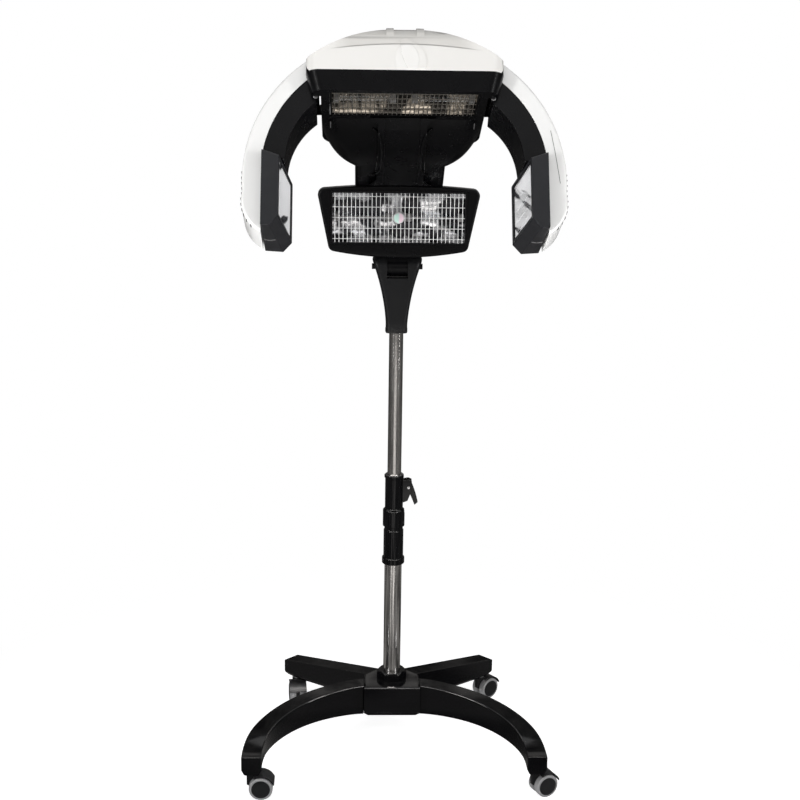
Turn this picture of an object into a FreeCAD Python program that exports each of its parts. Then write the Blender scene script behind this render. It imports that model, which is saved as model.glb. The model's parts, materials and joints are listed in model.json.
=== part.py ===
"""Hair colour processor: a hooded head with four infrared lamp modules on a wheeled stand.

Millimetres, +Z up.  The origin is on the floor at the middle of the whole object's box, +X is to the
right of someone facing the lamps and the client sits on the -Y side.

Three frames carry the pieces.  The STAND frame has its origin on the floor under the mast.  The
CRADLE frame is tipped back with the hood: its origin is the middle of the hood's lamp opening and its
-Y runs forward and up.  Each lamp module has a MODULE frame: its opening faces -Y, X runs along it.
"""
import FreeCAD, Part
import math
import os
import re
import Sketcher

Vector = FreeCAD.Vector

# Driving dimensions, in millimetres and degrees; a size that starts with "=" follows from the others.
SIZES = (
    ("pole_x", -15.1, "mast axis beside the middle of the object's box"),
    ("pole_y", 85.2, "mast axis behind the middle of the object's box"),
    ("fit_gap", 0.3, "clearance of a piece seated in another"),
    ("run_gap", 0.06, "radial clearance of a shaft that turns or slides"),
    # base
    ("hub_width", 124.0, "hub across its side faces"),
    ("hub_front", 60.0, "hub face in front of the mast"),
    ("hub_back", 56.0, "hub face behind the mast"),
    ("hub_side_back", 12.0, "where each side face meets the slanted rear face"),
    ("hub_low", 80.0, "underside of the hub above the floor"),
    ("hub_top", 153.0, "top of the hub above the floor"),
    ("hub_wall", 9.0, "wall of the hollow hub"),
    ("hub_boss", 27.0, "radius of the mast socket inside the hub"),
    ("leg_width", 42.0, "width of each leg"),
    ("front_leg_y", 24.0, "front legs leave the hub this far in front of the mast"),
    ("front_leg_reach", 236.0, "radius of the front leg's bend"),
    ("front_leg_nose", 20.0, "straight run at the front leg's tip"),
    ("rear_leg_length", 274.0, "length of each rear leg"),
    ("leg_root_top", 150.0, "top of a leg where it meets the hub"),
    ("leg_tip_top", 99.0, "top of a leg at its tip"),
    ("leg_tip_low", 58.0, "underside of a leg at its tip"),
    ("leg_edge", 11.0, "bevel along the lower edges of legs and hub"),
    ("screw_pitch", 34.0, "height between a leg's two screws"),
    ("screw_radius", 4.0, "shank of a leg screw"),
    # casters
    ("wheel_radius", 25.0, "caster wheel"),
    ("wheel_width", 15.0, "one of a caster's two wheels"),
    ("web_width", 8.0, "housing web between the two wheels"),
    ("hub_cap_inset", 5.5, "hub cap inside the wheel's tread"),
    ("hub_cap_proud", 0.9, "hub cap proud of the wheel's face"),
    ("caster_trail", 19.0, "axle behind the swivel stem"),
    ("axle_radius", 4.0, "caster axle"),
    ("stem_radius", 5.5, "swivel stem"),
    ("stem_inset", 21.0, "stem from the tip of its leg"),
    ("stem_length", 34.0, "stem inside the leg"),
    ("hood_clear", 2.5, "caster housing outside the wheels"),
    ("hood_wall", 2.5, "wall of the caster housing"),
    # mast
    ("lower_tube_radius", 19.0, "fixed mast tube"),
    ("lower_tube_wall", 2.5, "wall of the fixed tube"),
    ("lower_tube_top", 560.0, "top of the fixed tube"),
    ("socket_floor", 96.0, "floor of the mast socket in the hub"),
    ("nut_radius", 33.0, "mast nut, middle to corner"),
    ("nut_height", 19.0, "mast nut"),
    ("upper_tube_radius", 15.0, "sliding mast tube"),
    ("upper_tube_wall", 2.0, "wall of the sliding tube"),
    ("upper_tube_low", 330.0, "lower end of the sliding tube"),
    ("ring_low", 425.0, "underside of the sleeve's end ring"),
    ("ring_height", 15.0, "sleeve's end ring"),
    ("ring_radius", 24.6, "sleeve's end ring"),
    ("sleeve_radius", 21.7, "sleeve over the fixed tube"),
    ("groove_low", 502.0, "narrow groove under the sleeve's collar"),
    ("collar_low", 512.0, "underside of the sleeve's collar"),
    ("collar_top", 552.0, "top of the sleeve's collar"),
    ("collar_radius", 23.8, "sleeve's collar"),
    ("throat_radius", 19.6, "sleeve above its collar"),
    ("lip_low", 620.0, "underside of the sleeve's top lip"),
    ("sleeve_top", 627.0, "top of the sleeve"),
    ("lip_radius", 21.4, "sleeve's top lip"),
    ("bush_wall", 2.4, "plastic slide bush"),
    ("lever_x", 31.0, "lever pin from the mast axis"),
    ("lever_z", 600.0, "lever pin above the floor"),
    ("lever_reach", 44.0, "lever from its pin to its tip"),
    ("lever_width", 11.0, "lever between its lugs"),
    ("lever_root", 9.8, "lever's rounded root, short of the sleeve as it turns"),
    ("lever_pin_radius", 3.0, "lever pin"),
    ("ear_thick", 4.5, "each of the sleeve's ears beside the lever"),
    # tilting head joint
    ("fork_low", 944.0, "rim at the bottom of the fork"),
    ("fork_rim_radius", 23.5, "rim at the bottom of the fork"),
    ("fork_socket", 42.0, "sliding tube inside the fork"),
    ("fork_waist", 1003.0, "height of the fork's narrow waist"),
    ("fork_waist_width", 53.0, "fork across its waist"),
    ("fork_top_width", 112.0, "fork across its cheeks"),
    ("fork_depth", 48.0, "fork from front to back"),
    ("tilt_z", 1083.0, "tilt pin above the floor"),
    ("lug_width", 43.0, "lug between the cheeks"),
    ("lug_radius", 21.0, "round end of the lug"),
    ("tilt_pin_radius", 6.0, "tilt pin"),
    # nape panel
    ("long_opening", 278.0, "length of the hood's and nape panel's openings"),
    ("nape_front", 60.0, "bezel face in front of the mast"),
    ("nape_z", 1192.0, "middle of the nape panel's opening"),
    ("nape_top_margin", 29.0, "bezel's top beyond its opening at each end"),
    ("nape_foot_margin", 3.0, "bezel's foot beyond its opening at each end"),
    ("nape_top_width", "=long_opening+2*nape_top_margin", "bezel across its top"),
    ("nape_foot_width", "=long_opening+2*nape_foot_margin", "bezel across its foot"),
    ("nape_shoulder", 1250.0, "bezel's top corners"),
    ("nape_crest", 1259.0, "middle of the bezel's top edge"),
    ("nape_heel", 1124.0, "bezel's bottom corners"),
    ("nape_chin", 1110.0, "middle of the bezel's bottom edge"),
    ("bezel_depth", 22.0, "bezel from front to back"),
    ("bezel_corner", 14.0, "rounding of the bezel's corners"),
    ("shell_depth", 60.0, "rear shell behind the bezel"),
    ("shell_wall", 3.0, "wall of the moulded shells"),
    ("shell_step", 2.0, "rear shell inside the bezel's outline"),
    # lamp modules
    ("short_opening", 138.0, "length of a side lamp's opening"),
    ("opening_height", 108.0, "height of each opening"),
    ("wire_pitch", 8.4, "upright wires of a grille"),
    ("wire_size", 1.4, "thickness of a grille wire"),
    ("rim_width", 3.4, "rim round a grille"),
    ("rim_depth", 3.2, "grille rim from front to back"),
    ("grille_recess", 1.0, "grille behind its opening's face"),
    ("reflector_depth", 22.0, "depth of the mirror trough"),
    ("reflector_wall", 1.2, "sheet of the mirror trough"),
    ("lamp_radius", 5.0, "quartz tube"),
    ("lamp_inset", 13.0, "lamp axis behind its opening's face"),
    ("cap_width", 15.0, "ceramic lamp cap"),
    ("cap_length", 11.0, "ceramic lamp cap along the lamp"),
    ("lamp_gap", 30.0, "space between the two lamps of a long module"),
    ("sensor_radius", 11.5, "temperature sensor"),
    # hood
    ("cradle_y", -260.0, "hood opening's middle from the mast"),
    ("cradle_z", 1431.0, "hood opening's middle above the floor"),
    ("cradle_tip", 27.0, "cradle tipped back, in degrees"),
    ("hood_front", 70.0, "hood's front lip ahead of the cradle's origin"),
    ("hood_back", 205.0, "hood's rear wall behind the cradle's origin"),
    ("hood_margin", 18.0, "hood's body beyond its opening at each end"),
    ("visor_margin", 26.0, "hood's front wider than its body on each side"),
    ("cap_body_width", "=long_opening+2*hood_margin", "hood behind its full-width part"),
    ("visor_width", "=cap_body_width+2*visor_margin", "hood across its front"),
    ("visor_depth", 33.0, "full-width part of the hood"),
    ("hood_corner", 24.0, "rounding of the hood's front corners"),
    ("hood_draft", 10.0, "the hood's side walls lean in by this much at the bottom"),
    ("band_height", 39.0, "black band on the hood's front"),
    ("side_band_height", 76.0, "black wall along the hood's sides"),
    ("back_band_height", 50.0, "black wall at the hood's back"),
    ("hood_crown", 143.0, "highest point of the hood above its opening"),
    ("crown_radius", 310.0, "hood's crown across"),
    ("crown_sweep", 420.0, "hood's crown from front to back"),
    ("crown_y", 55.0, "highest point behind the cradle's origin"),
    ("brow_low", 94.0, "where the hood's front starts to bend back"),
    ("brow_back", 34.0, "how far that bend reaches back"),
    ("rib_width", 14.0, "each of the crown's two ribs"),
    ("rib_pitch", 56.0, "between the crown's two ribs"),
    ("rib_height", 2.4, "ribs above the crown"),
    ("tongue_width", 46.0, "raised leaf on the hood's front"),
    ("tongue_proud", 1.6, "raised leaf on the hood's front"),
    # cowl between hood and nape panel
    ("neck_width", 178.0, "neck above the nape panel"),
    ("neck_top", 1301.0, "top of the neck"),
    ("column_width", 94.0, "raised column on the cowl"),
    ("column_proud", 13.0, "column in front of the cowl"),
    ("column_rise", 103.0, "top of the column above the neck"),
    ("column_flare", 17.0, "column widens by this much at its ends"),
    ("rail_width", 13.0, "each of the column's two rails"),
    ("rail_height", 4.0, "rails in front of the channel between them"),
    # arms
    ("arm_front", 35.0, "arm's front edge ahead of the cradle's origin"),
    ("arm_back", 75.0, "arm's rear edge behind the cradle's origin"),
    ("arm_pin_out", 11.0, "arm pin outside the hood's body"),
    ("arm_pin_x", "=cap_body_width/2+arm_pin_out", "arm pin from the middle"),
    ("arm_pin_z", 22.0, "arm pin above the hood's opening"),
    ("arm_pin_radius", 4.0, "arm pin"),
    ("arm_lug", 10.0, "radius of the hood's lugs"),
    ("lug_thick", 4.5, "thickness of a lug"),
    ("arm_top_x", "=arm_pin_x+16", "top of an arm's outer cover"),
    ("arm_top_z", 71.0, "top of an arm's outer cover"),
    ("arm_root", 81.0, "lower corner of the liner's root below the top of the cover"),
    ("arm_bow_x", "=arm_pin_x+100", "shoulder of an arm's outer cover"),
    ("arm_bow_z", -30.0, "shoulder of an arm's outer cover"),
    ("arm_low_x", "=arm_pin_x+129", "widest point of an arm's outer cover"),
    ("arm_low_z", -184.0, "widest point of an arm's outer cover"),
    ("arm_toe_z", -262.0, "bottom of an arm's outer cover"),
    ("liner_centre_x", "=arm_pin_x-68", "centre of the arm liner's bend"),
    ("liner_centre_z", -118.0, "centre of the arm liner's bend"),
    ("liner_outer", 161.0, "outer radius of the arm liner"),
    ("liner_inner", 118.0, "inner radius of the arm liner"),
    ("arm_wall", 3.0, "wall of the arm's covers"),
    ("arm_edge", 6.0, "rounding of the arm's outer edges"),
    # side lamp boxes
    ("box_x", "=arm_pin_x+52", "middle of a side opening from the middle of the head"),
    ("box_y", 19.0, "middle of a side opening behind the cradle's origin"),
    ("box_z", -182.0, "middle of a side opening above the cradle's origin"),
    ("box_toe", 7.4, "side lamps turned to the front, in degrees"),
    ("box_rim", 10.0, "box beyond its opening at front and back"),
    ("box_sill", 5.0, "box beyond its opening at top and bottom"),
    ("box_near_depth", 32.0, "box depth at its front end"),
    ("box_far_depth", 51.0, "box depth at its rear end"),
    # controls
    ("panel_width", 150.0, "control panel"),
    ("panel_height", 62.0, "control panel"),
    ("panel_depth", 7.0, "control panel"),
    ("panel_z", 1205.0, "control panel's middle above the floor"),
    ("knob_radius", 16.0, "timer knob"),
    ("button_radius", 7.5, "start button"),
    ("button_travel", 1.6, "start button's travel"),
    ("rocker_height", 20.0, "power switch"),
    ("rocker_width", 12.0, "power switch"),
    ("inlet_x", 50.0, "mains inlet beside the middle"),
    ("inlet_width", 27.0, "mains inlet's barrel"),
    ("inlet_height", 19.0, "mains inlet's barrel"),
    ("inlet_depth", 20.0, "mains inlet behind its flange"),
)

doc = FreeCAD.newDocument("hair_colour_processor")
sizes = doc.addObject("Spreadsheet::Sheet", "sizes")
for row, (name, amount, meaning) in enumerate(SIZES, start=1):
    sizes.set("A%d" % row, name)
    sizes.set("B%d" % row, str(amount))
    sizes.setAlias("B%d" % row, name)
    sizes.set("C%d" % row, meaning)
doc.recompute()
ALIASES = {name for name, _, _ in SIZES}
NODES = []


# ---------------------------------------------------------------- expressions and sketches
def bound(text):
    """The expression with each size's alias made a reference to its cell."""
    return re.sub(r"[a-z][a-z0-9_]*",
                  lambda word: "sizes." + word.group(0) if word.group(0) in ALIASES else word.group(0),
                  str(text))


def value(text):
    """The expression's value now."""
    return float(sizes.evalExpression(bound(text)))


def bind(thing, prop, text):
    """Tie one property of a feature to an expression of sizes."""
    thing.setExpression(prop, bound(text))


def placed(frame, x="0", y="0", z="0", axis=Vector(0, 0, 1), angle="0"):
    """A placement inside a frame, from expressions."""
    here = FreeCAD.Placement(Vector(value(x), value(y), value(z)), FreeCAD.Rotation(axis, value(angle)))
    return frame.multiply(here)


STAND = placed(FreeCAD.Placement(), x="pole_x", y="pole_y")
CRADLE = placed(STAND, y="cradle_y", z="cradle_z", axis=Vector(1, 0, 0), angle="-cradle_tip")


def new_body(label, frame=STAND, node=True):
    """An empty body; a node is written to its own file."""
    body = doc.addObject("PartDesign::Body", label)
    body.Label = label
    body.Placement = frame
    if node:
        NODES.append(body)
    return body


def new_sketch(body, plane, offset="0"):
    """A sketch on one of the body's own origin planes, moved along the plane's normal."""
    sketch = body.newObject("Sketcher::SketchObject", "sketch")
    support = next(item for item in body.Origin.OriginFeatures if item.Role == plane)
    sketch.AttachmentSupport = (support, [""])
    sketch.MapMode = "FlatFace"
    bind(sketch, ".AttachmentOffset.Base.z", offset)
    return sketch


def pin_point(sketch, geometry, end, x, y):
    """Hold one point of the sketch at two expressions."""
    for kind, text in (("DistanceX", x), ("DistanceY", y)):
        index = sketch.addConstraint(Sketcher.Constraint(kind, -1, 1, geometry, end, value(text)))
        bind(sketch, "Constraints[%d]" % index, text)


def loop(sketch, corners):
    """A closed outline.  (x, y) runs straight to a corner; (x, y, via_x, via_y) bends through a point."""
    spots = [Vector(value(corner[0]), value(corner[1]), 0) for corner in corners]
    ends = []
    for index, corner in enumerate(corners):
        start, stop = spots[index - 1], spots[index]
        if len(corner) == 2:
            edge = sketch.addGeometry(Part.LineSegment(start, stop))
            ends.append((edge, 1, 2))
            continue
        middle = Vector(value(corner[2]), value(corner[3]), 0)
        edge = sketch.addGeometry(Part.Arc(start, middle, stop))
        forward = sketch.getPoint(edge, 1).distanceToPoint(start) < 1e-6
        ends.append((edge, 1, 2) if forward else (edge, 2, 1))
        guide = sketch.addGeometry(Part.Point(middle), True)
        pin_point(sketch, guide, 1, corner[2], corner[3])
        sketch.addConstraint(Sketcher.Constraint("PointOnObject", guide, 1, edge))
    for index, corner in enumerate(corners):
        edge, _, stop = ends[index]
        following, start, _ = ends[(index + 1) % len(corners)]
        sketch.addConstraint(Sketcher.Constraint("Coincident", edge, stop, following, start))
        pin_point(sketch, edge, stop, corner[0], corner[1])


def circle(sketch, x, y, radius):
    """A full circle."""
    edge = sketch.addGeometry(Part.Circle(Vector(value(x), value(y), 0), Vector(0, 0, 1), value(radius)))
    pin_point(sketch, edge, 3, x, y)
    index = sketch.addConstraint(Sketcher.Constraint("Radius", edge, value(radius)))
    bind(sketch, "Constraints[%d]" % index, radius)


def box_loop(sketch, left, right, low, high):
    """A rectangle."""
    loop(sketch, [(left, low), (right, low), (right, high), (left, high)])


def extrude(body, kind, sketch, length, both=False, backward=False, taper=0):
    """A pad or pocket of the sketch."""
    feature = body.newObject("PartDesign::" + kind, kind.lower())
    feature.Profile = sketch
    bind(feature, "Length", length)
    feature.Midplane = both
    feature.Reversed = backward
    feature.TaperAngle = taper
    doc.recompute()
    return feature


def turn(body, kind, sketch):
    """A full revolution or groove of the sketch about its own upright axis."""
    feature = body.newObject("PartDesign::" + kind, kind.lower())
    feature.Profile = sketch
    feature.ReferenceAxis = (sketch, ["V_Axis"])
    feature.Angle = 360.0
    doc.recompute()
    return feature


def repeat(body, original, sketch, axis, length, count):
    """Copies of one feature in a row along a sketch axis, first to last over the length."""
    feature = body.newObject("PartDesign::LinearPattern", "row")
    feature.Originals = [original]
    feature.Direction = (sketch, [axis])
    bind(feature, "Length", length)
    feature.Occurrences = count
    body.Tip = feature
    doc.recompute()
    return feature


FAR = "900"


def trim(body, plane, corners):
    """Cut away everything outside the outline, looking square onto the plane."""
    sketch = new_sketch(body, plane)
    xs = [value(corner[0]) for corner in corners]
    ys = [value(corner[1]) for corner in corners]
    middle = "%.0f" % (sum(ys) / len(ys))
    centre = "%.0f" % (sum(xs) / len(xs))
    box_loop(sketch, centre + "-" + FAR, centre + "+" + FAR, middle + "-" + FAR, middle + "+" + FAR)
    loop(sketch, corners)
    return extrude(body, "Pocket", sketch, "4*" + FAR, both=True)


def edges_where(shape, test):
    """Names of the edges whose middle passes the test."""
    names = []
    for index, edge in enumerate(shape.Edges, start=1):
        if test(edge.valueAt((edge.FirstParameter + edge.LastParameter) / 2)):
            names.append("Edge%d" % index)
    return names


def soften(body, kind, test, amount):
    """Fillet or chamfer the body's edges that pass the test."""
    doc.recompute()
    tip = body.Tip
    feature = body.newObject("PartDesign::" + kind, kind.lower())
    feature.Base = (tip, edges_where(tip.Shape, test))
    bind(feature, "Radius" if kind == "Fillet" else "Size", amount)
    doc.recompute()
    return feature


def near(measure, text, slack=0.05):
    """Whether a coordinate is at the expression's value."""
    return abs(measure - value(text)) < slack


def combine(label, kind, base, tool, node=True):
    """A Part boolean of two finished pieces."""
    result = doc.addObject("Part::" + kind, label)
    result.Label = label
    result.Base = base
    result.Tool = tool
    doc.recompute()
    if node:
        NODES.append(result)
    return result


def fused(label, pieces, frame=STAND, node=True):
    """Part primitives joined as one piece."""
    result = doc.addObject("Part::MultiFuse", label)
    result.Label = label
    result.Shapes = pieces
    result.Placement = frame
    doc.recompute()
    if node:
        NODES.append(result)
    return result


def block(x, y, z, length, width, height):
    """A box primitive from its lowest corner and its sides."""
    piece = doc.addObject("Part::Box", "block")
    for prop, text in (("Length", length), ("Width", width), ("Height", height),
                       (".Placement.Base.x", x), (".Placement.Base.y", y), (".Placement.Base.z", z)):
        bind(piece, prop, text)
    return piece


def rod(x, y, z, radius, length, axis="z"):
    """A cylinder primitive from its first end along an axis."""
    piece = doc.addObject("Part::Cylinder", "rod")
    bind(piece, "Radius", radius)
    bind(piece, "Height", length)
    turns = {"x": FreeCAD.Rotation(Vector(0, 1, 0), 90), "y": FreeCAD.Rotation(Vector(1, 0, 0), -90),
             "z": FreeCAD.Rotation()}
    piece.Placement = FreeCAD.Placement(Vector(), turns[axis])
    for prop, text in ((".Placement.Base.x", x), (".Placement.Base.y", y), (".Placement.Base.z", z)):
        bind(piece, prop, text)
    return piece


# ---------------------------------------------------------------- base
def hub_plan():
    """The hub from above: square in front, with two slanted faces for the rear legs."""
    return [("-hub_width/2", "-hub_front"), ("hub_width/2", "-hub_front"), ("hub_width/2", "hub_side_back"),
            ("hub_width/2-hub_back+hub_side_back", "hub_back"),
            ("-hub_width/2+hub_back-hub_side_back", "hub_back"), ("-hub_width/2", "hub_side_back")]


SLANT_X = "(hub_width/2-(hub_back-hub_side_back)/2)"
SLANT_Y = "((hub_back+hub_side_back)/2)"
LEG_MID = "((hub_low+leg_root_top)/2)"
FRONT_STEM_X = "(hub_width/2+front_leg_reach)"
FRONT_STEM_Y = "(-front_leg_y-front_leg_reach-front_leg_nose+stem_inset)"


def rear_leg_frame(side):
    """Where a rear leg's root meets the hub's slanted face; the leg runs along this frame's +X."""
    return {"x": "%d*%s" % (side, SLANT_X), "y": SLANT_Y, "angle": "45" if side > 0 else "135"}


def rear_leg_holes():
    """Rods that drill the hub for the rear legs' screws."""
    rods = []
    for side in (-1, 1):
        pair = [rod("-hub_wall-2", "0", "%s+%d*screw_pitch/2" % (LEG_MID, level), "screw_radius+run_gap",
                    "hub_wall+4", "x") for level in (-1, 1)]
        rods.append(fused("drill", pair, placed(FreeCAD.Placement(), **rear_leg_frame(side)), node=False))
    return fused("rear_drills", rods, node=False)


def base_hub():
    body = new_body("hub_undrilled", node=False)
    sketch = new_sketch(body, "XY_Plane", "hub_low")
    loop(sketch, hub_plan())
    extrude(body, "Pad", sketch, "hub_top-hub_low")
    soften(body, "Fillet", lambda p: near(p.z, "hub_top"), "5")
    soften(body, "Chamfer", lambda p: near(p.z, "hub_low"), "leg_edge")
    hollow = new_sketch(body, "XY_Plane", "hub_low")
    inner_side = "hub_width/2-hub_wall"
    inner_slant = "hub_side_back-0.4*hub_wall"
    loop(hollow, [("-(%s)" % inner_side, "hub_wall-hub_front"), (inner_side, "hub_wall-hub_front"),
                  (inner_side, inner_slant),
                  ("hub_width/2-hub_back+hub_side_back-0.4*hub_wall", "hub_back-hub_wall"),
                  ("-(hub_width/2-hub_back+hub_side_back-0.4*hub_wall)", "hub_back-hub_wall"),
                  ("-(%s)" % inner_side, inner_slant)])
    circle(hollow, "0", "0", "hub_boss")
    extrude(body, "Pocket", hollow, "hub_top-hub_low-hub_wall", backward=True)
    socket = new_sketch(body, "XY_Plane", "hub_top")
    circle(socket, "0", "0", "lower_tube_radius+run_gap")
    extrude(body, "Pocket", socket, "hub_top-socket_floor")
    for side in (-1, 1):
        holes = new_sketch(body, "YZ_Plane", "%d*(hub_width/2-hub_wall-1)" % side)
        for level in (-1, 1):
            circle(holes, "-front_leg_y", "%s+%d*screw_pitch/2" % (LEG_MID, level), "screw_radius+run_gap")
        extrude(body, "Pocket", holes, "hub_wall+2", backward=side > 0)
    return combine("base_hub", "Cut", body, rear_leg_holes())


LEG_SECTIONS = 7


def front_leg(label, side):
    """A leg that leaves the hub sideways and bends to the front, thinner towards its tip.

    It is lofted through upright sections turned about the centre of its bend, with one more section
    at the end of the straight nose.
    """
    body = new_body(label)
    centre_y = "(-front_leg_y-front_leg_reach)"
    sections = []
    for index in range(LEG_SECTIONS + 1):
        share = min(index / (LEG_SECTIONS - 1.0), 1.0)
        low = "(hub_low+%.3f*(leg_tip_low-hub_low))" % share
        top = "(leg_root_top+%.3f*(leg_tip_top-leg_root_top))" % share
        section = new_sketch(body, "XZ_Plane")
        nose = "front_leg_nose" if index == LEG_SECTIONS else "0"
        turned = FreeCAD.Rotation(Vector(0, 1, 0), side * 90.0 * (1 - share))
        section.AttachmentOffset = FreeCAD.Placement(Vector(), turned)
        bind(section, ".AttachmentOffset.Base.x", "%d*hub_width/2" % side)
        bind(section, ".AttachmentOffset.Base.z", "-%s+%s" % (centre_y, nose))
        near_side = "%d*(front_leg_reach-leg_width/2" % side
        far_side = "%d*(front_leg_reach+leg_width/2" % side
        loop(section, [(near_side + ")", top), (far_side + ")", top), (far_side + ")", low + "+leg_edge"),
                       (far_side + "-leg_edge/2)", low), (near_side + "+leg_edge/2)", low),
                       (near_side + ")", low + "+leg_edge")])
        sections.append(section)
    leg = body.newObject("PartDesign::AdditiveLoft", "loft")
    leg.Profile = sections[0]
    leg.Sections = sections[1:]
    doc.recompute()
    leg_holes(body, side)
    stem_hole(body, "%d*%s" % (side, FRONT_STEM_X), FRONT_STEM_Y)
    return body


def leg_holes(body, side):
    """Two screw holes in the end of a front leg."""
    holes = new_sketch(body, "YZ_Plane", "%d*hub_width/2" % side)
    for level in (-1, 1):
        circle(holes, "-front_leg_y", "%s+%d*screw_pitch/2" % (LEG_MID, level), "screw_radius+run_gap")
    extrude(body, "Pocket", holes, "5*screw_radius", backward=side > 0)


def stem_hole(body, x, y):
    """The blind hole that takes a caster's stem."""
    hole = new_sketch(body, "XY_Plane", "leg_tip_low-1")
    circle(hole, x, y, "stem_radius+run_gap")
    extrude(body, "Pocket", hole, "stem_length+2", backward=True)


def rear_leg(label, side):
    """A straight leg from the hub's slanted face, modelled along +X and turned to its place."""
    body = new_body(label, placed(STAND, **rear_leg_frame(side)))
    profile = new_sketch(body, "XZ_Plane", "-leg_width/2")
    loop(profile, [("0", "hub_low"), ("rear_leg_length-2*stem_inset", "leg_tip_low"),
                   ("rear_leg_length", "leg_tip_low"), ("rear_leg_length", "leg_tip_top"),
                   ("0", "leg_root_top")])
    extrude(body, "Pad", profile, "leg_width")
    soften(body, "Chamfer", lambda p: p.z < value("hub_low+1") and not near(p.x, "rear_leg_length")
           and not near(p.x, "0") and abs(abs(p.y) - value("leg_width/2")) < 0.1, "leg_edge")
    holes = new_sketch(body, "YZ_Plane")
    for level in (-1, 1):
        circle(holes, "0", "%s+%d*screw_pitch/2" % (LEG_MID, level), "screw_radius+run_gap")
    extrude(body, "Pocket", holes, "5*screw_radius", backward=True)
    stem_hole(body, "rear_leg_length-stem_inset", "0")
    return body


def leg_screws():
    """Cap screws from inside the hub into each leg."""
    pieces = []
    for side in (-1, 1):
        for level in (-1, 1):
            z = "%s+%d*screw_pitch/2" % (LEG_MID, level)
            inside = "hub_width/2-hub_wall"
            shank_x = inside if side > 0 else "-hub_width/2-4*screw_radius"
            head_x = "%s-1.5*screw_radius" % inside if side > 0 else "-(%s)" % inside
            pieces.append(rod(shank_x, "-front_leg_y", z, "screw_radius", "hub_wall+4*screw_radius", "x"))
            pieces.append(rod(head_x, "-front_leg_y", z, "1.6*screw_radius", "1.5*screw_radius", "x"))
        pair = []
        for level in (-1, 1):
            z = "%s+%d*screw_pitch/2" % (LEG_MID, level)
            pair.append(rod("-hub_wall", "0", z, "screw_radius", "hub_wall+4*screw_radius", "x"))
            pair.append(rod("-hub_wall-1.5*screw_radius", "0", z, "1.6*screw_radius", "1.5*screw_radius",
                            "x"))
        pieces.append(fused("rear_pair", pair, placed(FreeCAD.Placement(), **rear_leg_frame(side)),
                            node=False))
    return fused("leg_screws", pieces)


# ---------------------------------------------------------------- casters
def caster(tag, x, y, heading):
    """A hooded twin-wheel caster; its own +X is the side on which the wheels trail."""
    frame = placed(STAND, x=x, y=y, angle=str(heading))
    stem = new_body("caster_%s_stem" % tag, frame)
    profile = new_sketch(stem, "XZ_Plane")
    neck = "2*wheel_radius+1.2"
    loop(profile, [("0", neck), ("stem_radius", neck), ("stem_radius", "leg_tip_low-2.5"),
                   ("1.8*stem_radius", "leg_tip_low-2.5"), ("1.8*stem_radius", "leg_tip_low-fit_gap"),
                   ("stem_radius", "leg_tip_low-fit_gap"), ("stem_radius", "leg_tip_low+stem_length-2"),
                   ("stem_radius-2", "leg_tip_low+stem_length"), ("0", "leg_tip_low+stem_length")])
    turn(stem, "Revolution", profile)

    housing = new_body("caster_%s_housing" % tag, frame)
    side = new_sketch(housing, "XZ_Plane", "-web_width/2")
    shade = "(wheel_radius+hood_clear)"
    loop(side, [("2*stem_radius", "leg_tip_low-3"), ("-2*stem_radius", "leg_tip_low-3"),
                ("-2*stem_radius", "wheel_radius+4"), ("caster_trail-8", "wheel_radius-9"),
                ("caster_trail+8", "wheel_radius-9"),
                ("caster_trail+%s*0.94" % shade, "wheel_radius+%s*0.34" % shade),
                ("caster_trail", "wheel_radius+" + shade,
                 "caster_trail+%s*0.7071" % shade, "wheel_radius+%s*0.7071" % shade)])
    extrude(housing, "Pad", side, "web_width")
    fender = new_sketch(housing, "XZ_Plane", "-(web_width/2+wheel_width+1)")
    outside = "(wheel_radius+hood_clear+hood_wall)"
    loop(fender, [("caster_trail-%s*0.5" % outside, "wheel_radius+%s*0.866" % outside),
                  ("caster_trail+%s*0.94" % outside, "wheel_radius+%s*0.34" % outside,
                   "caster_trail+%s*0.5" % outside, "wheel_radius+%s*0.866" % outside),
                  ("caster_trail+%s*0.94" % shade, "wheel_radius+%s*0.34" % shade),
                  ("caster_trail-%s*0.5" % shade, "wheel_radius+%s*0.866" % shade,
                   "caster_trail+%s*0.5" % shade, "wheel_radius+%s*0.866" % shade)])
    extrude(housing, "Pad", fender, "web_width+2*wheel_width+2")
    boss = new_sketch(housing, "XY_Plane", "2*wheel_radius+0.8")
    circle(boss, "0", "0", "2*stem_radius")
    extrude(housing, "Pad", boss, "leg_tip_low-3.8-2*wheel_radius")
    socket = new_sketch(housing, "XY_Plane", "leg_tip_low-3")
    circle(socket, "0", "0", "stem_radius+run_gap")
    extrude(housing, "Pocket", socket, "leg_tip_low-4-2*wheel_radius")
    bore = new_sketch(housing, "XZ_Plane")
    circle(bore, "caster_trail", "wheel_radius", "axle_radius+run_gap")
    extrude(housing, "Pocket", bore, "2*web_width", both=True)

    wheels = new_body("caster_%s_wheels" % tag, placed(frame, x="caster_trail", z="wheel_radius"))
    axle = new_sketch(wheels, "XZ_Plane")
    circle(axle, "0", "0", "axle_radius")
    extrude(wheels, "Pad", axle, "web_width+2*wheel_width-4", both=True)
    for end in (-1, 1):
        tread = new_sketch(wheels, "XZ_Plane", "%d*(web_width/2+0.5)" % end)
        circle(tread, "0", "0", "wheel_radius")
        extrude(wheels, "Pad", tread, "wheel_width-0.5", backward=end < 0)
        cap = new_sketch(wheels, "XZ_Plane", "%d*(web_width/2+wheel_width)" % end)
        circle(cap, "0", "0", "wheel_radius-hub_cap_inset")
        extrude(wheels, "Pad", cap, "hub_cap_proud", backward=end < 0)
    soften(wheels, "Chamfer", lambda p: p.x ** 2 + p.z ** 2 > value("(wheel_radius-0.1)^2"), "1.5")
    return stem, housing, wheels


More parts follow.
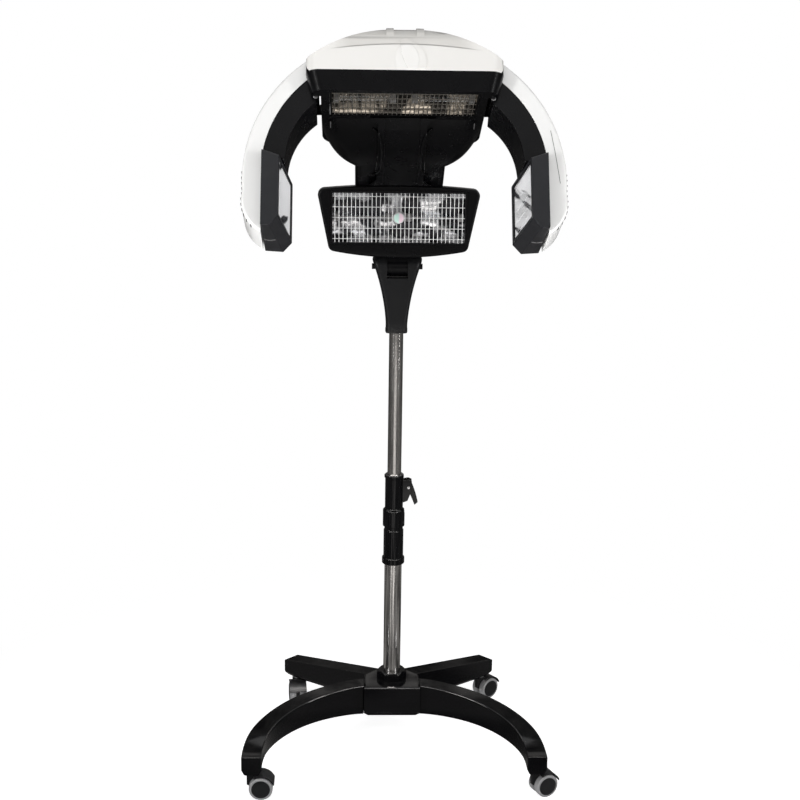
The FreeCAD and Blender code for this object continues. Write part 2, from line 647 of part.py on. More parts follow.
REAR_STEM = "((rear_leg_length-stem_inset)*0.70711)"
CASTERS = (("front_left", "-" + FRONT_STEM_X, FRONT_STEM_Y, 0),
           ("front_right", FRONT_STEM_X, FRONT_STEM_Y, 24),
           ("rear_left", "-(%s+%s)" % (SLANT_X, REAR_STEM), "%s+%s" % (SLANT_Y, REAR_STEM), -84),
           ("rear_right", "%s+%s" % (SLANT_X, REAR_STEM), "%s+%s" % (SLANT_Y, REAR_STEM), 38))


# ---------------------------------------------------------------- mast
def lower_tube():
    body = new_body("lower_tube")
    ring = new_sketch(body, "XY_Plane", "socket_floor")
    circle(ring, "0", "0", "lower_tube_radius")
    circle(ring, "0", "0", "lower_tube_radius-lower_tube_wall")
    extrude(body, "Pad", ring, "lower_tube_top-socket_floor")
    return body


def mast_nut():
    """The hexagonal nut that clamps the fixed tube in the hub."""
    body = new_body("mast_nut")
    flat = new_sketch(body, "XY_Plane", "hub_top")
    loop(flat, [("nut_radius*cos(%d)" % angle, "nut_radius*sin(%d)" % angle) for angle in range(0, 360, 60)])
    circle(flat, "0", "0", "lower_tube_radius+fit_gap")
    extrude(body, "Pad", flat, "nut_height")
    bevel = new_sketch(body, "XZ_Plane")
    loop(bevel, [("nut_radius-5", "hub_top+nut_height"), ("nut_radius+2", "hub_top+nut_height-5"),
                 ("nut_radius+2", "hub_top+nut_height+2"), ("nut_radius-5", "hub_top+nut_height+2")])
    turn(body, "Groove", bevel)
    return body


def sleeve_ring():
    body = new_body("sleeve_ring")
    profile = new_sketch(body, "XZ_Plane")
    loop(profile, [("lower_tube_radius+fit_gap", "ring_low"), ("ring_radius-1.5", "ring_low"),
                   ("ring_radius", "ring_low+1.5"), ("ring_radius", "ring_low+ring_height-1.5"),
                   ("ring_radius-1.5", "ring_low+ring_height"),
                   ("lower_tube_radius+fit_gap", "ring_low+ring_height")])
    turn(body, "Revolution", profile)
    return body


def clamp_sleeve():
    """The turned sleeve: it grips the fixed tube below and guides the sliding tube above."""
    body = new_body("clamp_sleeve")
    profile = new_sketch(body, "XZ_Plane")
    grip = "lower_tube_radius+fit_gap"
    throat = "upper_tube_radius+run_gap+bush_wall+run_gap"
    loop(profile, [(grip, "ring_low+ring_height"), ("sleeve_radius", "ring_low+ring_height"),
                   ("sleeve_radius", "groove_low"), ("sleeve_radius-1.6", "groove_low+1"),
                   ("sleeve_radius-1.6", "collar_low-1.5"), ("collar_radius", "collar_low"),
                   ("collar_radius", "collar_top-4"), ("throat_radius", "collar_top"),
                   ("throat_radius", "lip_low"), ("lip_radius", "lip_low+2"), ("lip_radius", "sleeve_top"),
                   (throat, "sleeve_top"), (throat, "lower_tube_top"), (grip, "lower_tube_top")])
    turn(body, "Revolution", profile)
    lugs = new_sketch(body, "XZ_Plane", "-(lever_width/2+ear_thick)")
    lug_left = "throat_radius-1.5"
    loop(lugs, [(lug_left, "lever_z-34"), ("lever_x-2", "lever_z-30"), ("lever_x+7", "lever_z-7"),
                ("lever_x+7", "lever_z+15"), ("lever_x", "lever_z+18"), (lug_left, "lever_z+16")])
    extrude(body, "Pad", lugs, "lever_width+2*ear_thick")
    slot = new_sketch(body, "XZ_Plane")
    box_loop(slot, "throat_radius+1", "lever_x+20", "lever_z-60", "lever_z+40")
    extrude(body, "Pocket", slot, "lever_width+2*fit_gap", both=True)
    hole = new_sketch(body, "XZ_Plane")
    circle(hole, "lever_x", "lever_z", "lever_pin_radius+run_gap")
    extrude(body, "Pocket", hole, "4*lever_width", both=True)
    return body


def clamp_pin():
    """The pin through the sleeve's ears on which the lever turns."""
    body = new_body("clamp_pin")
    end = new_sketch(body, "XZ_Plane")
    circle(end, "lever_x", "lever_z", "lever_pin_radius")
    extrude(body, "Pad", end, "lever_width+2*ear_thick+1", both=True)
    return body


def clamp_lever():
    """The cam lever; flipping it up frees the sliding tube."""
    body = new_body("clamp_lever")
    profile = new_sketch(body, "XZ_Plane", "-lever_width/2")
    tip_x = "lever_x+0.4*lever_reach"
    tip_z = "lever_z-0.92*lever_reach"
    loop(profile, [("lever_x-0.6*lever_root", "lever_z-4"), ("lever_x-0.6*lever_root", "lever_z+0.8*lever_root"),
                   ("lever_x+0.866*lever_root", "lever_z+0.5*lever_root",
                    "lever_x+0.174*lever_root", "lever_z+0.985*lever_root"),
                   (tip_x + "+3", tip_z + "+6", "lever_x+16", "lever_z-16"), (tip_x + "-4", tip_z),
                   ("lever_x+1", "lever_z-10", "lever_x+7", "lever_z-24")])
    extrude(body, "Pad", profile, "lever_width")
    hole = new_sketch(body, "XZ_Plane")
    circle(hole, "lever_x", "lever_z", "lever_pin_radius+run_gap")
    extrude(body, "Pocket", hole, "2*lever_width", both=True)
    return body


def slide_bush():
    body = new_body("slide_bush")
    profile = new_sketch(body, "XZ_Plane")
    inside = "upper_tube_radius+run_gap"
    outside = "upper_tube_radius+run_gap+bush_wall"
    loop(profile, [(inside, "lower_tube_top+fit_gap"), (outside, "lower_tube_top+fit_gap"),
                   (outside, "sleeve_top"), ("lip_radius-2", "sleeve_top"), ("lip_radius-2", "sleeve_top+2"),
                   (inside, "sleeve_top+2")])
    turn(body, "Revolution", profile)
    return body


def upper_tube():
    body = new_body("upper_tube")
    ring = new_sketch(body, "XY_Plane", "upper_tube_low")
    circle(ring, "0", "0", "upper_tube_radius")
    circle(ring, "0", "0", "upper_tube_radius-upper_tube_wall")
    extrude(body, "Pad", ring, "fork_low+fork_socket-upper_tube_low")
    return body


# ---------------------------------------------------------------- tilt joint
def tilt_fork():
    """The flared fork on the sliding tube; its cheeks are round about the tilt pin."""
    body = new_body("tilt_fork")
    front = new_sketch(body, "XZ_Plane", "-fork_depth/2")
    rise = "tilt_z+fork_depth/2"
    foot = "fork_rim_radius-1"
    loop(front, [("-(%s)" % foot, "fork_low"), (foot, "fork_low"), (foot, "fork_low+18"),
                 ("fork_top_width/2", rise, "fork_waist_width/2+6", "fork_waist+28"),
                 ("-fork_top_width/2", rise),
                 ("-(%s)" % foot, "fork_low+18", "-fork_waist_width/2-6", "fork_waist+28")])
    extrude(body, "Pad", front, "fork_depth")
    trim(body, "YZ_Plane", [("-(%s)" % foot, "fork_low"), (foot, "fork_low"), ("fork_depth/2", "tilt_z"),
                            ("-fork_depth/2", "tilt_z", "0", rise)])
    soften(body, "Fillet", lambda p: value("fork_low+1") < p.z < value("tilt_z-2")
           and abs(p.x) > value("fork_rim_radius-3") and abs(p.y) > 5
           or (abs(p.z - value("fork_low+9")) < 9.5 and abs(p.x) > 20 and abs(p.y) > 20), "9")
    rim = new_sketch(body, "XZ_Plane")
    loop(rim, [("upper_tube_radius+1", "fork_low"), ("fork_rim_radius", "fork_low"),
               ("fork_rim_radius", "fork_low+8"), ("fork_rim_radius-3", "fork_low+11"),
               ("upper_tube_radius+1", "fork_low+11")])
    turn(body, "Revolution", rim)
    socket = new_sketch(body, "XY_Plane", "fork_low")
    circle(socket, "0", "0", "upper_tube_radius+run_gap")
    extrude(body, "Pocket", socket, "fork_socket+fit_gap", backward=True)
    slot = new_sketch(body, "XZ_Plane")
    gap = "lug_width/2+fit_gap"
    low = "tilt_z-lug_radius-1"
    box_loop(slot, "-(%s)" % gap, gap, low, "tilt_z+60")
    extrude(body, "Pocket", slot, "2*fork_depth", both=True)
    hole = new_sketch(body, "YZ_Plane")
    circle(hole, "0", "tilt_z", "tilt_pin_radius+run_gap")
    extrude(body, "Pocket", hole, "2*fork_top_width", both=True)
    return body


def tilt_lug():
    """The head's tongue between the cheeks, carried up into the nape shell."""
    body = new_body("tilt_lug")
    side = new_sketch(body, "YZ_Plane", "-lug_width/2")
    loop(side, [("lug_radius*0.8", "tilt_z+lug_radius*0.6", "0", "tilt_z-lug_radius"),
                ("lug_radius*0.8", "nape_z-12"), ("-lug_radius*0.8", "nape_z-12"),
                ("-lug_radius*0.8", "tilt_z+lug_radius*0.6")])
    extrude(body, "Pad", side, "lug_width")
    hole = new_sketch(body, "YZ_Plane")
    circle(hole, "0", "tilt_z", "tilt_pin_radius+run_gap")
    extrude(body, "Pocket", hole, "2*lug_width", both=True)
    return body


def tilt_pin():
    return fused("tilt_pin", [rod("-fork_top_width/2+3", "0", "tilt_z", "tilt_pin_radius",
                                  "fork_top_width/2-3-run_gap", "x"),
                              rod("-run_gap", "0", "tilt_z", "tilt_pin_radius",
                                  "fork_top_width/2-3+run_gap", "x")])


# ---------------------------------------------------------------- lamp modules
def grille(label, frame, length):
    """A rim with upright wires in front and cross wires behind them."""
    body = new_body(label, frame)
    long_side = "(%s/2-fit_gap)" % length
    short_side = "(opening_height/2-fit_gap)"
    rim = new_sketch(body, "XZ_Plane", "-(grille_recess+rim_depth)")
    box_loop(rim, "-" + long_side, long_side, "-" + short_side, short_side)
    box_loop(rim, "-(%s-rim_width)" % long_side, "%s-rim_width" % long_side,
             "-(%s-rim_width)" % short_side, "%s-rim_width" % short_side)
    extrude(body, "Pad", rim, "rim_depth")
    count = int((value(length) - 2 * value("rim_width")) / value("wire_pitch"))
    upright = new_sketch(body, "XZ_Plane", "-(grille_recess+0.1+wire_size)")
    first = "(-%d*wire_pitch/2)" % (count - 1)
    box_loop(upright, first + "-wire_size/2", first + "+wire_size/2",
             "-(%s-rim_width/2)" % short_side, "%s-rim_width/2" % short_side)
    wire = extrude(body, "Pad", upright, "wire_size")
    repeat(body, wire, upright, "H_Axis", "%d*wire_pitch" % (count - 1), count)
    across = new_sketch(body, "XZ_Plane", "-(grille_recess+0.2+2*wire_size)")
    lowest = "(-0.42*opening_height)"
    box_loop(across, "-(%s-rim_width/2)" % long_side, "%s-rim_width/2" % long_side,
             lowest + "-wire_size/2", lowest + "+wire_size/2")
    wire = extrude(body, "Pad", across, "wire_size")
    repeat(body, wire, across, "V_Axis", "0.84*opening_height", 5)
    return body


def reflector(label, frame, length):
    """A bent mirror trough with two end plates behind a grille."""
    body = new_body(label, frame)
    front = "(grille_recess+rim_depth+fit_gap)"
    half = "(opening_height/2-fit_gap-1)"
    back = "(%s+reflector_depth)" % front
    trough = new_sketch(body, "YZ_Plane", "-(%s/2-1)" % length)
    loop(trough, [(front, "-" + half), (front, half, back, "0"), (front, "(%s-reflector_wall)" % half),
                  (front, "-(%s-reflector_wall)" % half, back + "-reflector_wall", "0")])
    extrude(body, "Pad", trough, length + "-2")
    for start in ("-(%s/2-1)" % length, "%s/2-1-reflector_wall" % length):
        plate = new_sketch(body, "YZ_Plane", start)
        loop(plate, [(front, "-" + half), (front, half, back, "0")])
        extrude(body, "Pad", plate, "reflector_wall")
    return body


def lamps(label, frame, length, count):
    """Quartz tubes end to end, each held by two ceramic caps that stand on the reflector."""
    room = "(%s-2*rim_width-6)" % length
    pieces = []
    for index in range(count):
        if count == 1:
            start, tube = "-%s/2" % room, room
        else:
            tube = "((%s-lamp_gap)/2)" % room
            start = "lamp_gap/2" if index else "-%s/2" % room
        pieces.append(rod(start, "lamp_inset", "0", "lamp_radius", tube, "x"))
        for cap in (start, "%s+%s-cap_length" % (start, tube)):
            pieces.append(block(cap, "lamp_inset-cap_width/2", "-cap_width/2", "cap_length",
                                "grille_recess+rim_depth+reflector_depth-lamp_inset+cap_width/2-2",
                                "cap_width"))
    return fused(label, pieces, frame)


def lamp_module(name, frame, length, count):
    """Grille, reflector and lamps of one opening; the sensor stands between the nape lamps."""
    wires = grille(name + "_grille", frame, length)
    if frame is NAPE:
        gap = new_sketch(wires, "XZ_Plane")
        circle(gap, "0", "0", "sensor_radius+fit_gap")
        extrude(wires, "Pocket", gap, "4*sensor_radius", both=True)
    reflector(name + "_reflector", frame, length)
    lamps(name + "_lamps", frame, length, count)


NAPE = placed(STAND, y="-nape_front", z="nape_z")
HOOD = placed(CRADLE, axis=Vector(1, 0, 0), angle="90")


def side_frame(side):
    """A side lamp's module frame; side is 1 on the right and -1 on the left."""
    return placed(CRADLE, x="%d*box_x" % side, y="box_y", z="box_z", angle="%d*(box_toe-90)" % side)


# ---------------------------------------------------------------- nape panel
def nape_outline(inset):
    """The panel from the front, drawn in by the inset."""
    shrink = "-(%s)" % inset
    top = "(nape_top_width/2%s)" % shrink
    foot = "(nape_foot_width/2%s)" % shrink
    shoulder = "(nape_shoulder%s)" % shrink
    heel = "(nape_heel+(%s))" % inset
    return [("-" + foot, heel), (foot, heel, "0", "nape_chin+(%s)" % inset), (top, shoulder),
            ("-" + top, shoulder, "0", "nape_crest%s" % shrink)]


def nape_bezel():
    body = new_body("nape_bezel")
    face = new_sketch(body, "XZ_Plane", "nape_front-bezel_depth")
    loop(face, nape_outline("0"))
    extrude(body, "Pad", face, "bezel_depth")
    soften(body, "Fillet", lambda p: near(p.y, "-nape_front+bezel_depth/2", 1), "bezel_corner")
    soften(body, "Fillet", lambda p: near(p.y, "-nape_front"), "5")
    window = new_sketch(body, "XZ_Plane")
    box_loop(window, "-long_opening/2", "long_opening/2", "nape_z-opening_height/2",
             "nape_z+opening_height/2")
    extrude(body, "Pocket", window, "4*nape_front", both=True)
    return body


INLET_Z = "(panel_z-panel_height/2-24)"


def nape_shell():
    """The rear shell, narrower towards the back, with a slot for the head's tongue."""
    body = new_body("nape_shell")
    for kind, inset, start, depth in (("Pad", "shell_step", "nape_front-bezel_depth", "shell_depth"),
                                      ("Pocket", "shell_step+shell_wall",
                                       "nape_front-bezel_depth+1", "shell_depth-shell_wall+1")):
        back = new_sketch(body, "XZ_Plane", start)
        loop(back, nape_outline(inset))
        extrude(body, kind, back, depth, backward=kind == "Pad", taper=-6)
        if kind == "Pad":
            low = value("nape_front-bezel_depth")
            soften(body, "Fillet", lambda p: abs(p.y + low - value("shell_depth/2")) < 3, "bezel_corner-2")
            soften(body, "Fillet", lambda p: near(p.y, "shell_depth+bezel_depth-nape_front"), "9")
    slot = new_sketch(body, "XY_Plane", "nape_chin-20")
    box_loop(slot, "-(lug_width/2+fit_gap)", "lug_width/2+fit_gap", "-(lug_radius*0.8+fit_gap)",
             "lug_radius*0.8+fit_gap")
    extrude(body, "Pocket", slot, "50", backward=True)
    inlet = new_sketch(body, "XZ_Plane")
    box_loop(inlet, "inlet_x-inlet_width/2-fit_gap", "inlet_x+inlet_width/2+fit_gap",
             INLET_Z + "-inlet_height/2-fit_gap", INLET_Z + "+inlet_height/2+fit_gap")
    extrude(body, "Pocket", inlet, "2*shell_depth")
    return body


def temperature_sensor():
    """The round sensor between the two nape lamps, with its domed lens."""
    body = new_body("temperature_sensor", NAPE)
    profile = new_sketch(body, "XY_Plane")
    back = "grille_recess+rim_depth+reflector_depth-2"
    loop(profile, [("0", "0.2-1.6"), ("sensor_radius/2", "-0.9"), ("sensor_radius-1.5", "0.4"),
                   ("sensor_radius", "1.2"), ("sensor_radius", "5"), ("sensor_radius/2", "7"),
                   ("sensor_radius/2", back), ("0", back)])
    turn(body, "Revolution", profile)
    return body


# ---------------------------------------------------------------- hood
def hood_plan(inset, lean):
    """The hood from above: a wide front with round corners and a narrower body behind it."""
    front_x = "(visor_width/2-(%s)-%s)" % (inset, lean)
    body_x = "(cap_body_width/2-(%s)-%s/5)" % (inset, lean)
    front_y = "(-hood_front+(%s)+%s/2)" % (inset, lean)
    step_y = "(visor_depth-hood_front-(%s))" % inset
    back_y = "(hood_back-(%s)-%s/2)" % (inset, lean)
    corner = "(hood_corner-2*(%s))" % inset
    right = [(front_x + "-" + corner, front_y),
             (front_x, front_y + "+" + corner, front_x + "-0.293*" + corner, front_y + "+0.293*" + corner),
             (front_x, step_y), (body_x, step_y), (body_x, back_y + "-2*" + corner),
             (body_x + "-2*" + corner, back_y, body_x + "-0.586*" + corner, back_y + "-0.586*" + corner)]
    left = []
    for index in range(len(right) - 1, -1, -1):
        mirrored = ["-(%s)" % right[index][0], right[index][1]]
        following = right[index + 1] if index + 1 < len(right) else ()
        if len(following) == 4:
            mirrored += ["-(%s)" % following[2], following[3]]
        left.append(tuple(mirrored))
    return right + left


def hood_volume(label, inset="0"):
    """The hood's whole form, or with an inset the straight-sided space inside it."""
    body = new_body(label, CRADLE, node=False)
    foot = new_sketch(body, "XY_Plane", inset)
    loop(foot, hood_plan(inset, "hood_draft"))
    if inset == "0":
        band = new_sketch(body, "XY_Plane", "band_height")
        loop(band, hood_plan(inset, "0"))
        flare = body.newObject("PartDesign::AdditiveLoft", "loft")
        flare.Profile = foot
        flare.Sections = [band]
        flare.Ruled = True
        doc.recompute()
    else:
        extrude(body, "Pad", foot, "band_height-(%s)" % inset)
    above = new_sketch(body, "XY_Plane", "band_height")
    loop(above, hood_plan(inset, "0"))
    extrude(body, "Pad", above, "hood_crown+30-band_height")
    shape_roof(body, inset)
    return body


def shape_roof(body, inset):
    """Cut the hood's domed crown and its bent brow, lower by the inset."""
    crown = new_sketch(body, "XZ_Plane", "-crown_y")
    axis_z = "(hood_crown-crown_sweep)"
    start = Vector(-50, value(axis_z), 0)
    axis = crown.addGeometry(Part.LineSegment(start, start + Vector(100, 0, 0)), True)
    pin_point(crown, axis, 1, "-50", axis_z)
    pin_point(crown, axis, 2, "50", axis_z)
    half = "(visor_width/2+shell_wall)"
    top = "(hood_crown-(%s))" % inset
    edge = "(%s-crown_radius+sqrt(crown_radius^2-%s^2))" % (top, half)
    loop(crown, [("-" + half, edge), (half, edge, "0", top), (half, top + "+90"), ("-" + half, top + "+90")])
    cut = body.newObject("PartDesign::Groove", "groove")
    cut.Profile = crown
    cut.ReferenceAxis = (crown, ["Axis0"])
    cut.Angle = 120.0
    cut.Midplane = True
    doc.recompute()
    brow = new_sketch(body, "YZ_Plane")
    level = "brow_low-0.3*(%s)" % inset
    back = "(brow_back-hood_front)"
    roof = "(%s+sqrt(crown_sweep^2-(crown_y-%s)^2)-(%s))" % (axis_z, back, inset)
    loop(brow, [("-hood_front-20", level), ("-hood_front+(%s)" % inset, level),
                (back, roof, "-hood_front+0.34*brow_back+(%s)" % inset, "%s-0.28*(%s-brow_low)" % (roof, roof)),
                (back, "hood_crown+60"), ("-hood_front-20", "hood_crown+60")])
    extrude(body, "Pocket", brow, "2*visor_width", both=True)


def crown_ribs():
    """Two ribs that run back over the crown."""
    body = new_body("crown_ribs", CRADLE, node=False)
    strips = new_sketch(body, "XY_Plane", "brow_low-2")
    for middle in ("-rib_pitch/2", "rib_pitch/2"):
        box_loop(strips, middle + "-rib_width/2", middle + "+rib_width/2", "2-hood_front",
                 "hood_back-hood_corner")
    extrude(body, "Pad", strips, "hood_crown+30-brow_low")
    shape_roof(body, "-rib_height")
    return body


def brow_tongue():
    """The raised leaf in the middle of the hood's front, from its lip up to the crease."""
    body = new_body("brow_tongue", CRADLE, node=False)
    leaf = new_sketch(body, "XZ_Plane", "hood_front-2*shell_wall")
    low, high = "(band_height+3)", "(brow_low+3)"
    loop(leaf, [("tongue_width*0.8", low), ("tongue_width*0.2", high, "tongue_width*0.75", high + "-22"),
                ("-tongue_width*0.2", high, "0", high + "+4"),
                ("tongue_width*0.1", low, "-tongue_width*0.12", high + "-30")])
    extrude(body, "Pad", leaf, "2*shell_wall+tongue_proud")
    return body


def parting(label, above):
    """A block that fills the space on one side of the line where the white cap meets the black wall."""
    body = new_body(label, CRADLE, node=False)
    side = new_sketch(body, "YZ_Plane", "-visor_width")
    far_z = "600" if above else "-600"
    loop(side, [("-500", "band_height"), ("-hood_front+8", "band_height"),
                ("-hood_front+visor_depth", "side_band_height",
                 "-hood_front+0.45*visor_depth+4", "band_height+0.38*(side_band_height-band_height)"),
                ("hood_back", "back_band_height"), ("500", "back_band_height"), ("500", far_z),
                ("-500", far_z)])
    extrude(body, "Pad", side, "2*visor_width")
    return body


def hood_lugs():
    """Lugs on the hood's sides that hold the arm pins."""
    pieces = []
    for side in (-1, 1):
        for start in ("-arm_front-fit_gap-lug_thick", "arm_back+fit_gap"):
            left = "cap_body_width/2-6" if side > 0 else "-arm_pin_x"
            pieces.append(block(left, start, "arm_pin_z-arm_lug", "arm_pin_x-cap_body_width/2+6",
                                "lug_thick", "2*arm_lug"))
            pieces.append(rod("%d*arm_pin_x" % side, start, "arm_pin_z", "arm_lug", "lug_thick", "y"))
    return fused("hood_lugs", pieces, CRADLE, node=False)


def hood():
    """The white cap, the black frame below it with the lamp opening, and the pins of the arms."""
    inner = hood_volume("hood_hollow", "shell_wall")
    plain_cap = combine("plain_cap", "Cut", hood_volume("cap_outer"),
                        parting("below_parting", above=False), node=False)
    cap_solid = fused("cap_solid", [plain_cap, crown_ribs(), brow_tongue()], FreeCAD.Placement(), node=False)
    combine("hood_cap", "Cut", cap_solid, inner)
    frame_solid = combine("frame_solid", "Cut", hood_volume("frame_outer"),
                          parting("above_parting", above=True), node=False)
    walls = combine("frame_walls", "Cut", frame_solid, inner, node=False)
    whole = fused("frame_with_lugs", [walls, hood_lugs()], FreeCAD.Placement(), node=False)
    window = block("-long_opening/2", "-opening_height/2", "-5", "long_opening", "opening_height",
                   "5+2*shell_wall")
    bores = [rod("%d*arm_pin_x" % side, "-arm_front-lug_thick-1", "arm_pin_z", "arm_pin_radius+run_gap",
                 "arm_back+arm_front+2*lug_thick+6", "y") for side in (-1, 1)]
    combine("hood_frame", "Cut", whole, fused("frame_openings", [window] + bores, CRADLE, node=False))
    pins = [rod("%d*arm_pin_x" % side, "-arm_front-lug_thick+1", "arm_pin_z", "arm_pin_radius",
                "arm_back+arm_front+2*lug_thick-1", "y") for side in (-1, 1)]
    fused("arm_pins", pins, CRADLE)


# ---------------------------------------------------------------- cowl
COWL_FRONT = (("30", "nape_crest-27"), ("106", "neck_top"), ("138", "neck_top+24"), ("165", "neck_top+49"),
              ("190", "neck_top+79"), ("206", "neck_top+106"))
COWL_BACK = ("-18", "22", "56", "86", "100", "110")
COWL_HALF = ["neck_width/2", "neck_width/2+1"] + [
    "neck_width/2+%s*(cap_body_width-neck_width)/2-1" % share for share in ("0.53", "0.79", "0.97", "1")]
COWL_CORNER = ("12", "14", "26", "34", "36", "36")


def cowl_section(body, index):
    """A level outline of the cowl with rounded corners."""
    front, level = COWL_FRONT[index]
    half, corner = COWL_HALF[index], COWL_CORNER[index]
    section = new_sketch(body, "XY_Plane", level)
    front_y, back_y = "-(%s)" % front, "-(%s)" % COWL_BACK[index]
    bend = "0.293*" + corner
    inner = "(%s-%s)" % (half, corner)
    loop(section, [(inner, front_y),
                   (half, "%s+%s" % (front_y, corner), "%s-%s" % (half, bend), "%s+%s" % (front_y, bend)),
                   (half, "%s-%s" % (back_y, corner)),
                   (inner, back_y, "%s-%s" % (half, bend), "%s-%s" % (back_y, bend)),
                   ("-" + inner, back_y),
                   ("-(%s)" % half, "%s-%s" % (back_y, corner), "-(%s-%s)" % (half, bend),
                    "%s-%s" % (back_y, bend)),
                   ("-(%s)" % half, "%s+%s" % (front_y, corner)),
                   ("-" + inner, front_y, "-(%s-%s)" % (half, bend), "%s+%s" % (front_y, bend))])
    return section


def column_outline(grow, shift, beyond):
    """The column from the front, wider where it meets the hood and the nape panel."""
    half = "(column_width/2+(%s))" % grow
    wide = "(%s+column_flare)" % half
    foot, top = "(nape_crest+1-(%s))" % shift, "(neck_top+column_rise+(%s))" % shift
    right = [(half, foot + "+24", half + "+0.2*column_flare", foot + "+9"), (half, top + "-22"),
             (wide, top, half + "+0.25*column_flare", top + "-7")]
    left = [("-" + half, top + "-22", "-(%s+0.25*column_flare)" % half, top + "-7"),
            ("-" + half, foot + "+24")]
    ends = [("-" + wide, foot, "-(%s+0.2*column_flare)" % half, foot + "+9")]
    if beyond:
        return (ends + [("-" + wide, foot + "-" + beyond), (wide, foot + "-" + beyond), (wide, foot)] + right
                + [(wide, top + "+" + beyond), ("-" + wide, top + "+" + beyond), ("-" + wide, top)] + left)
    return ends + [(wide, foot)] + right + [("-" + wide, top)] + left


def column_body(label, grow="0", shift="0", beyond="", outside="column_proud", inside="-6"):
    """A slab that follows the cowl's sloping front, between two distances in front of it."""
    body = new_body(label, node=False)
    front = new_sketch(body, "XZ_Plane", "-20")
    loop(front, column_outline(grow, shift, beyond))
    extrude(body, "Pad", front, "300")
    proud = [("-(%s)-(%s)" % (y, outside), z) for y, z in COWL_FRONT]
    sunk = [("-(%s)-(%s)" % (y, inside), z) for y, z in reversed(COWL_FRONT)]
    trim(body, "YZ_Plane", proud + sunk)
    return body


def underside_block(label):
    """Everything above the plane of the hood's underside."""
    body = new_body(label, CRADLE, node=False)
    above = new_sketch(body, "XY_Plane", "-fit_gap")
    box_loop(above, "-400", "400", "-400", "500")
    extrude(body, "Pad", above, "500")
    return body


def cowl():
    """The black cowl that carries the hood on the nape shell, and the column on its front."""
    solid = new_body("cowl_solid", node=False)
    sections = [cowl_section(solid, index) for index in range(len(COWL_FRONT))]
    neck = solid.newObject("PartDesign::AdditiveLoft", "neck")
    neck.Profile = sections[0]
    neck.Sections = [sections[1]]
    again = cowl_section(solid, 1)
    bowl = solid.newObject("PartDesign::AdditiveLoft", "bowl")
    bowl.Profile = again
    bowl.Sections = sections[2:]
    doc.recompute()
    hood_side = underside_block("hood_side")
    below = combine("cowl_below", "Cut", solid, hood_side, node=False)
    groove = column_body("column_groove", grow="fit_gap", beyond="fit_gap", inside="-6-fit_gap")
    grooved = combine("cowl_grooved", "Cut", below, groove, node=False)
    clear = new_body("panel_clear", node=False)
    face = new_sketch(clear, "XZ_Plane", "nape_front-bezel_depth")
    loop(face, nape_outline("-fit_gap"))
    extrude(clear, "Pad", face, "2*bezel_depth")
    back = new_sketch(clear, "XZ_Plane", "nape_front-bezel_depth")
    loop(back, nape_outline("shell_step-fit_gap"))
    extrude(clear, "Pad", back, "shell_depth", backward=True, taper=-6)
    combine("lower_cowl", "Cut", grooved, clear)
    channel = column_body("column_channel", grow="-rail_width", shift="12", outside="column_proud+30",
                          inside="column_proud-rail_height")
    railed = combine("railed_column", "Cut", column_body("column_full"), channel, node=False)
    combine("column_cover", "Cut", railed, underside_block("column_side"))


# ---------------------------------------------------------------- arms
def arm_curves(side, wall):
    """Corner lists of an arm's outer cover and liner; the wall draws the closed sides in."""
    sign = "%d*" % side

    def point(x, z):
        return (sign + "(%s)" % x, z)

    def bend(x, z, via_x, via_z):
        return point(x, z) + point(via_x, via_z)

    inset = "(%s)" % wall
    open_side = "(%s/3)" % wall
    root_x, root_z = "arm_top_x-16", "arm_top_z-28"
    split_via = ("liner_centre_x+0.766*liner_outer", "liner_centre_z+0.643*liner_outer")
    side_x = "arm_low_x-35+fit_gap"
    shell = [point("arm_top_x+" + inset, "arm_top_z-1.6*" + inset),
             bend("arm_low_x-" + inset, "arm_low_z", "arm_bow_x-0.75*" + inset, "arm_bow_z-0.75*" + inset),
             bend("%s-%s" % (side_x, open_side), "arm_toe_z+" + inset,
                  "arm_low_x-9-0.8*" + inset, "arm_toe_z+24+0.5*" + inset),
             point("%s-%s" % (side_x, open_side), "liner_centre_z"),
             bend("%s+0.8*%s" % (root_x, inset), "%s-0.3*%s" % (root_z, inset),
                  "%s-0.7*%s" % (split_via[0], open_side), "%s-0.7*%s" % (split_via[1], open_side))]
    liner = [point("arm_top_x-21+" + inset, "arm_top_z-arm_root"),
             point("%s+0.9*%s" % (root_x, inset), "%s+0.4*%s" % (root_z, open_side)),
             bend("%s+%s" % (side_x, open_side), "liner_centre_z",
                  "%s+0.7*%s" % (split_via[0], open_side), "%s+0.7*%s" % (split_via[1], open_side)),
             point("%s+%s" % (side_x, open_side), "box_z+opening_height/2+6+" + inset),
             point("liner_centre_x+liner_inner+2+" + inset, "box_z+opening_height/2+6+" + inset),
             point("liner_centre_x+liner_inner+" + inset, "liner_centre_z+8"),
             bend("arm_top_x-21+" + inset, "arm_top_z-arm_root+0.8*" + inset,
                  "liner_centre_x+0.82*liner_inner+0.8*" + inset,
                  "liner_centre_z+0.6*liner_inner+0.5*" + inset)]
    return shell, liner[1:]


def arm_cover(label, side, which):
    """A hollow moulding, open on the side where the arm's two covers meet."""
    body = new_body(label, CRADLE)
    outline = new_sketch(body, "XZ_Plane", "arm_front")
    loop(outline, arm_curves(side, "0")[which])
    extrude(body, "Pad", outline, "arm_front+arm_back", backward=True)
    if which == 0:
        soften(body, "Fillet", lambda p: near(p.x, "%d*arm_low_x" % side) and near(p.z, "arm_low_z"), "40")
        soften(body, "Fillet", lambda p: near(abs(p.y - value("(arm_back-arm_front)/2")),
                                              "(arm_back+arm_front)/2") and abs(p.x) > value("arm_bow_x-4"),
               "arm_edge")
    hollow = new_sketch(body, "XZ_Plane", "arm_front-arm_wall")
    loop(hollow, arm_curves(side, "arm_wall")[which])
    extrude(body, "Pocket", hollow, "arm_front+arm_back-2*arm_wall")
    return body


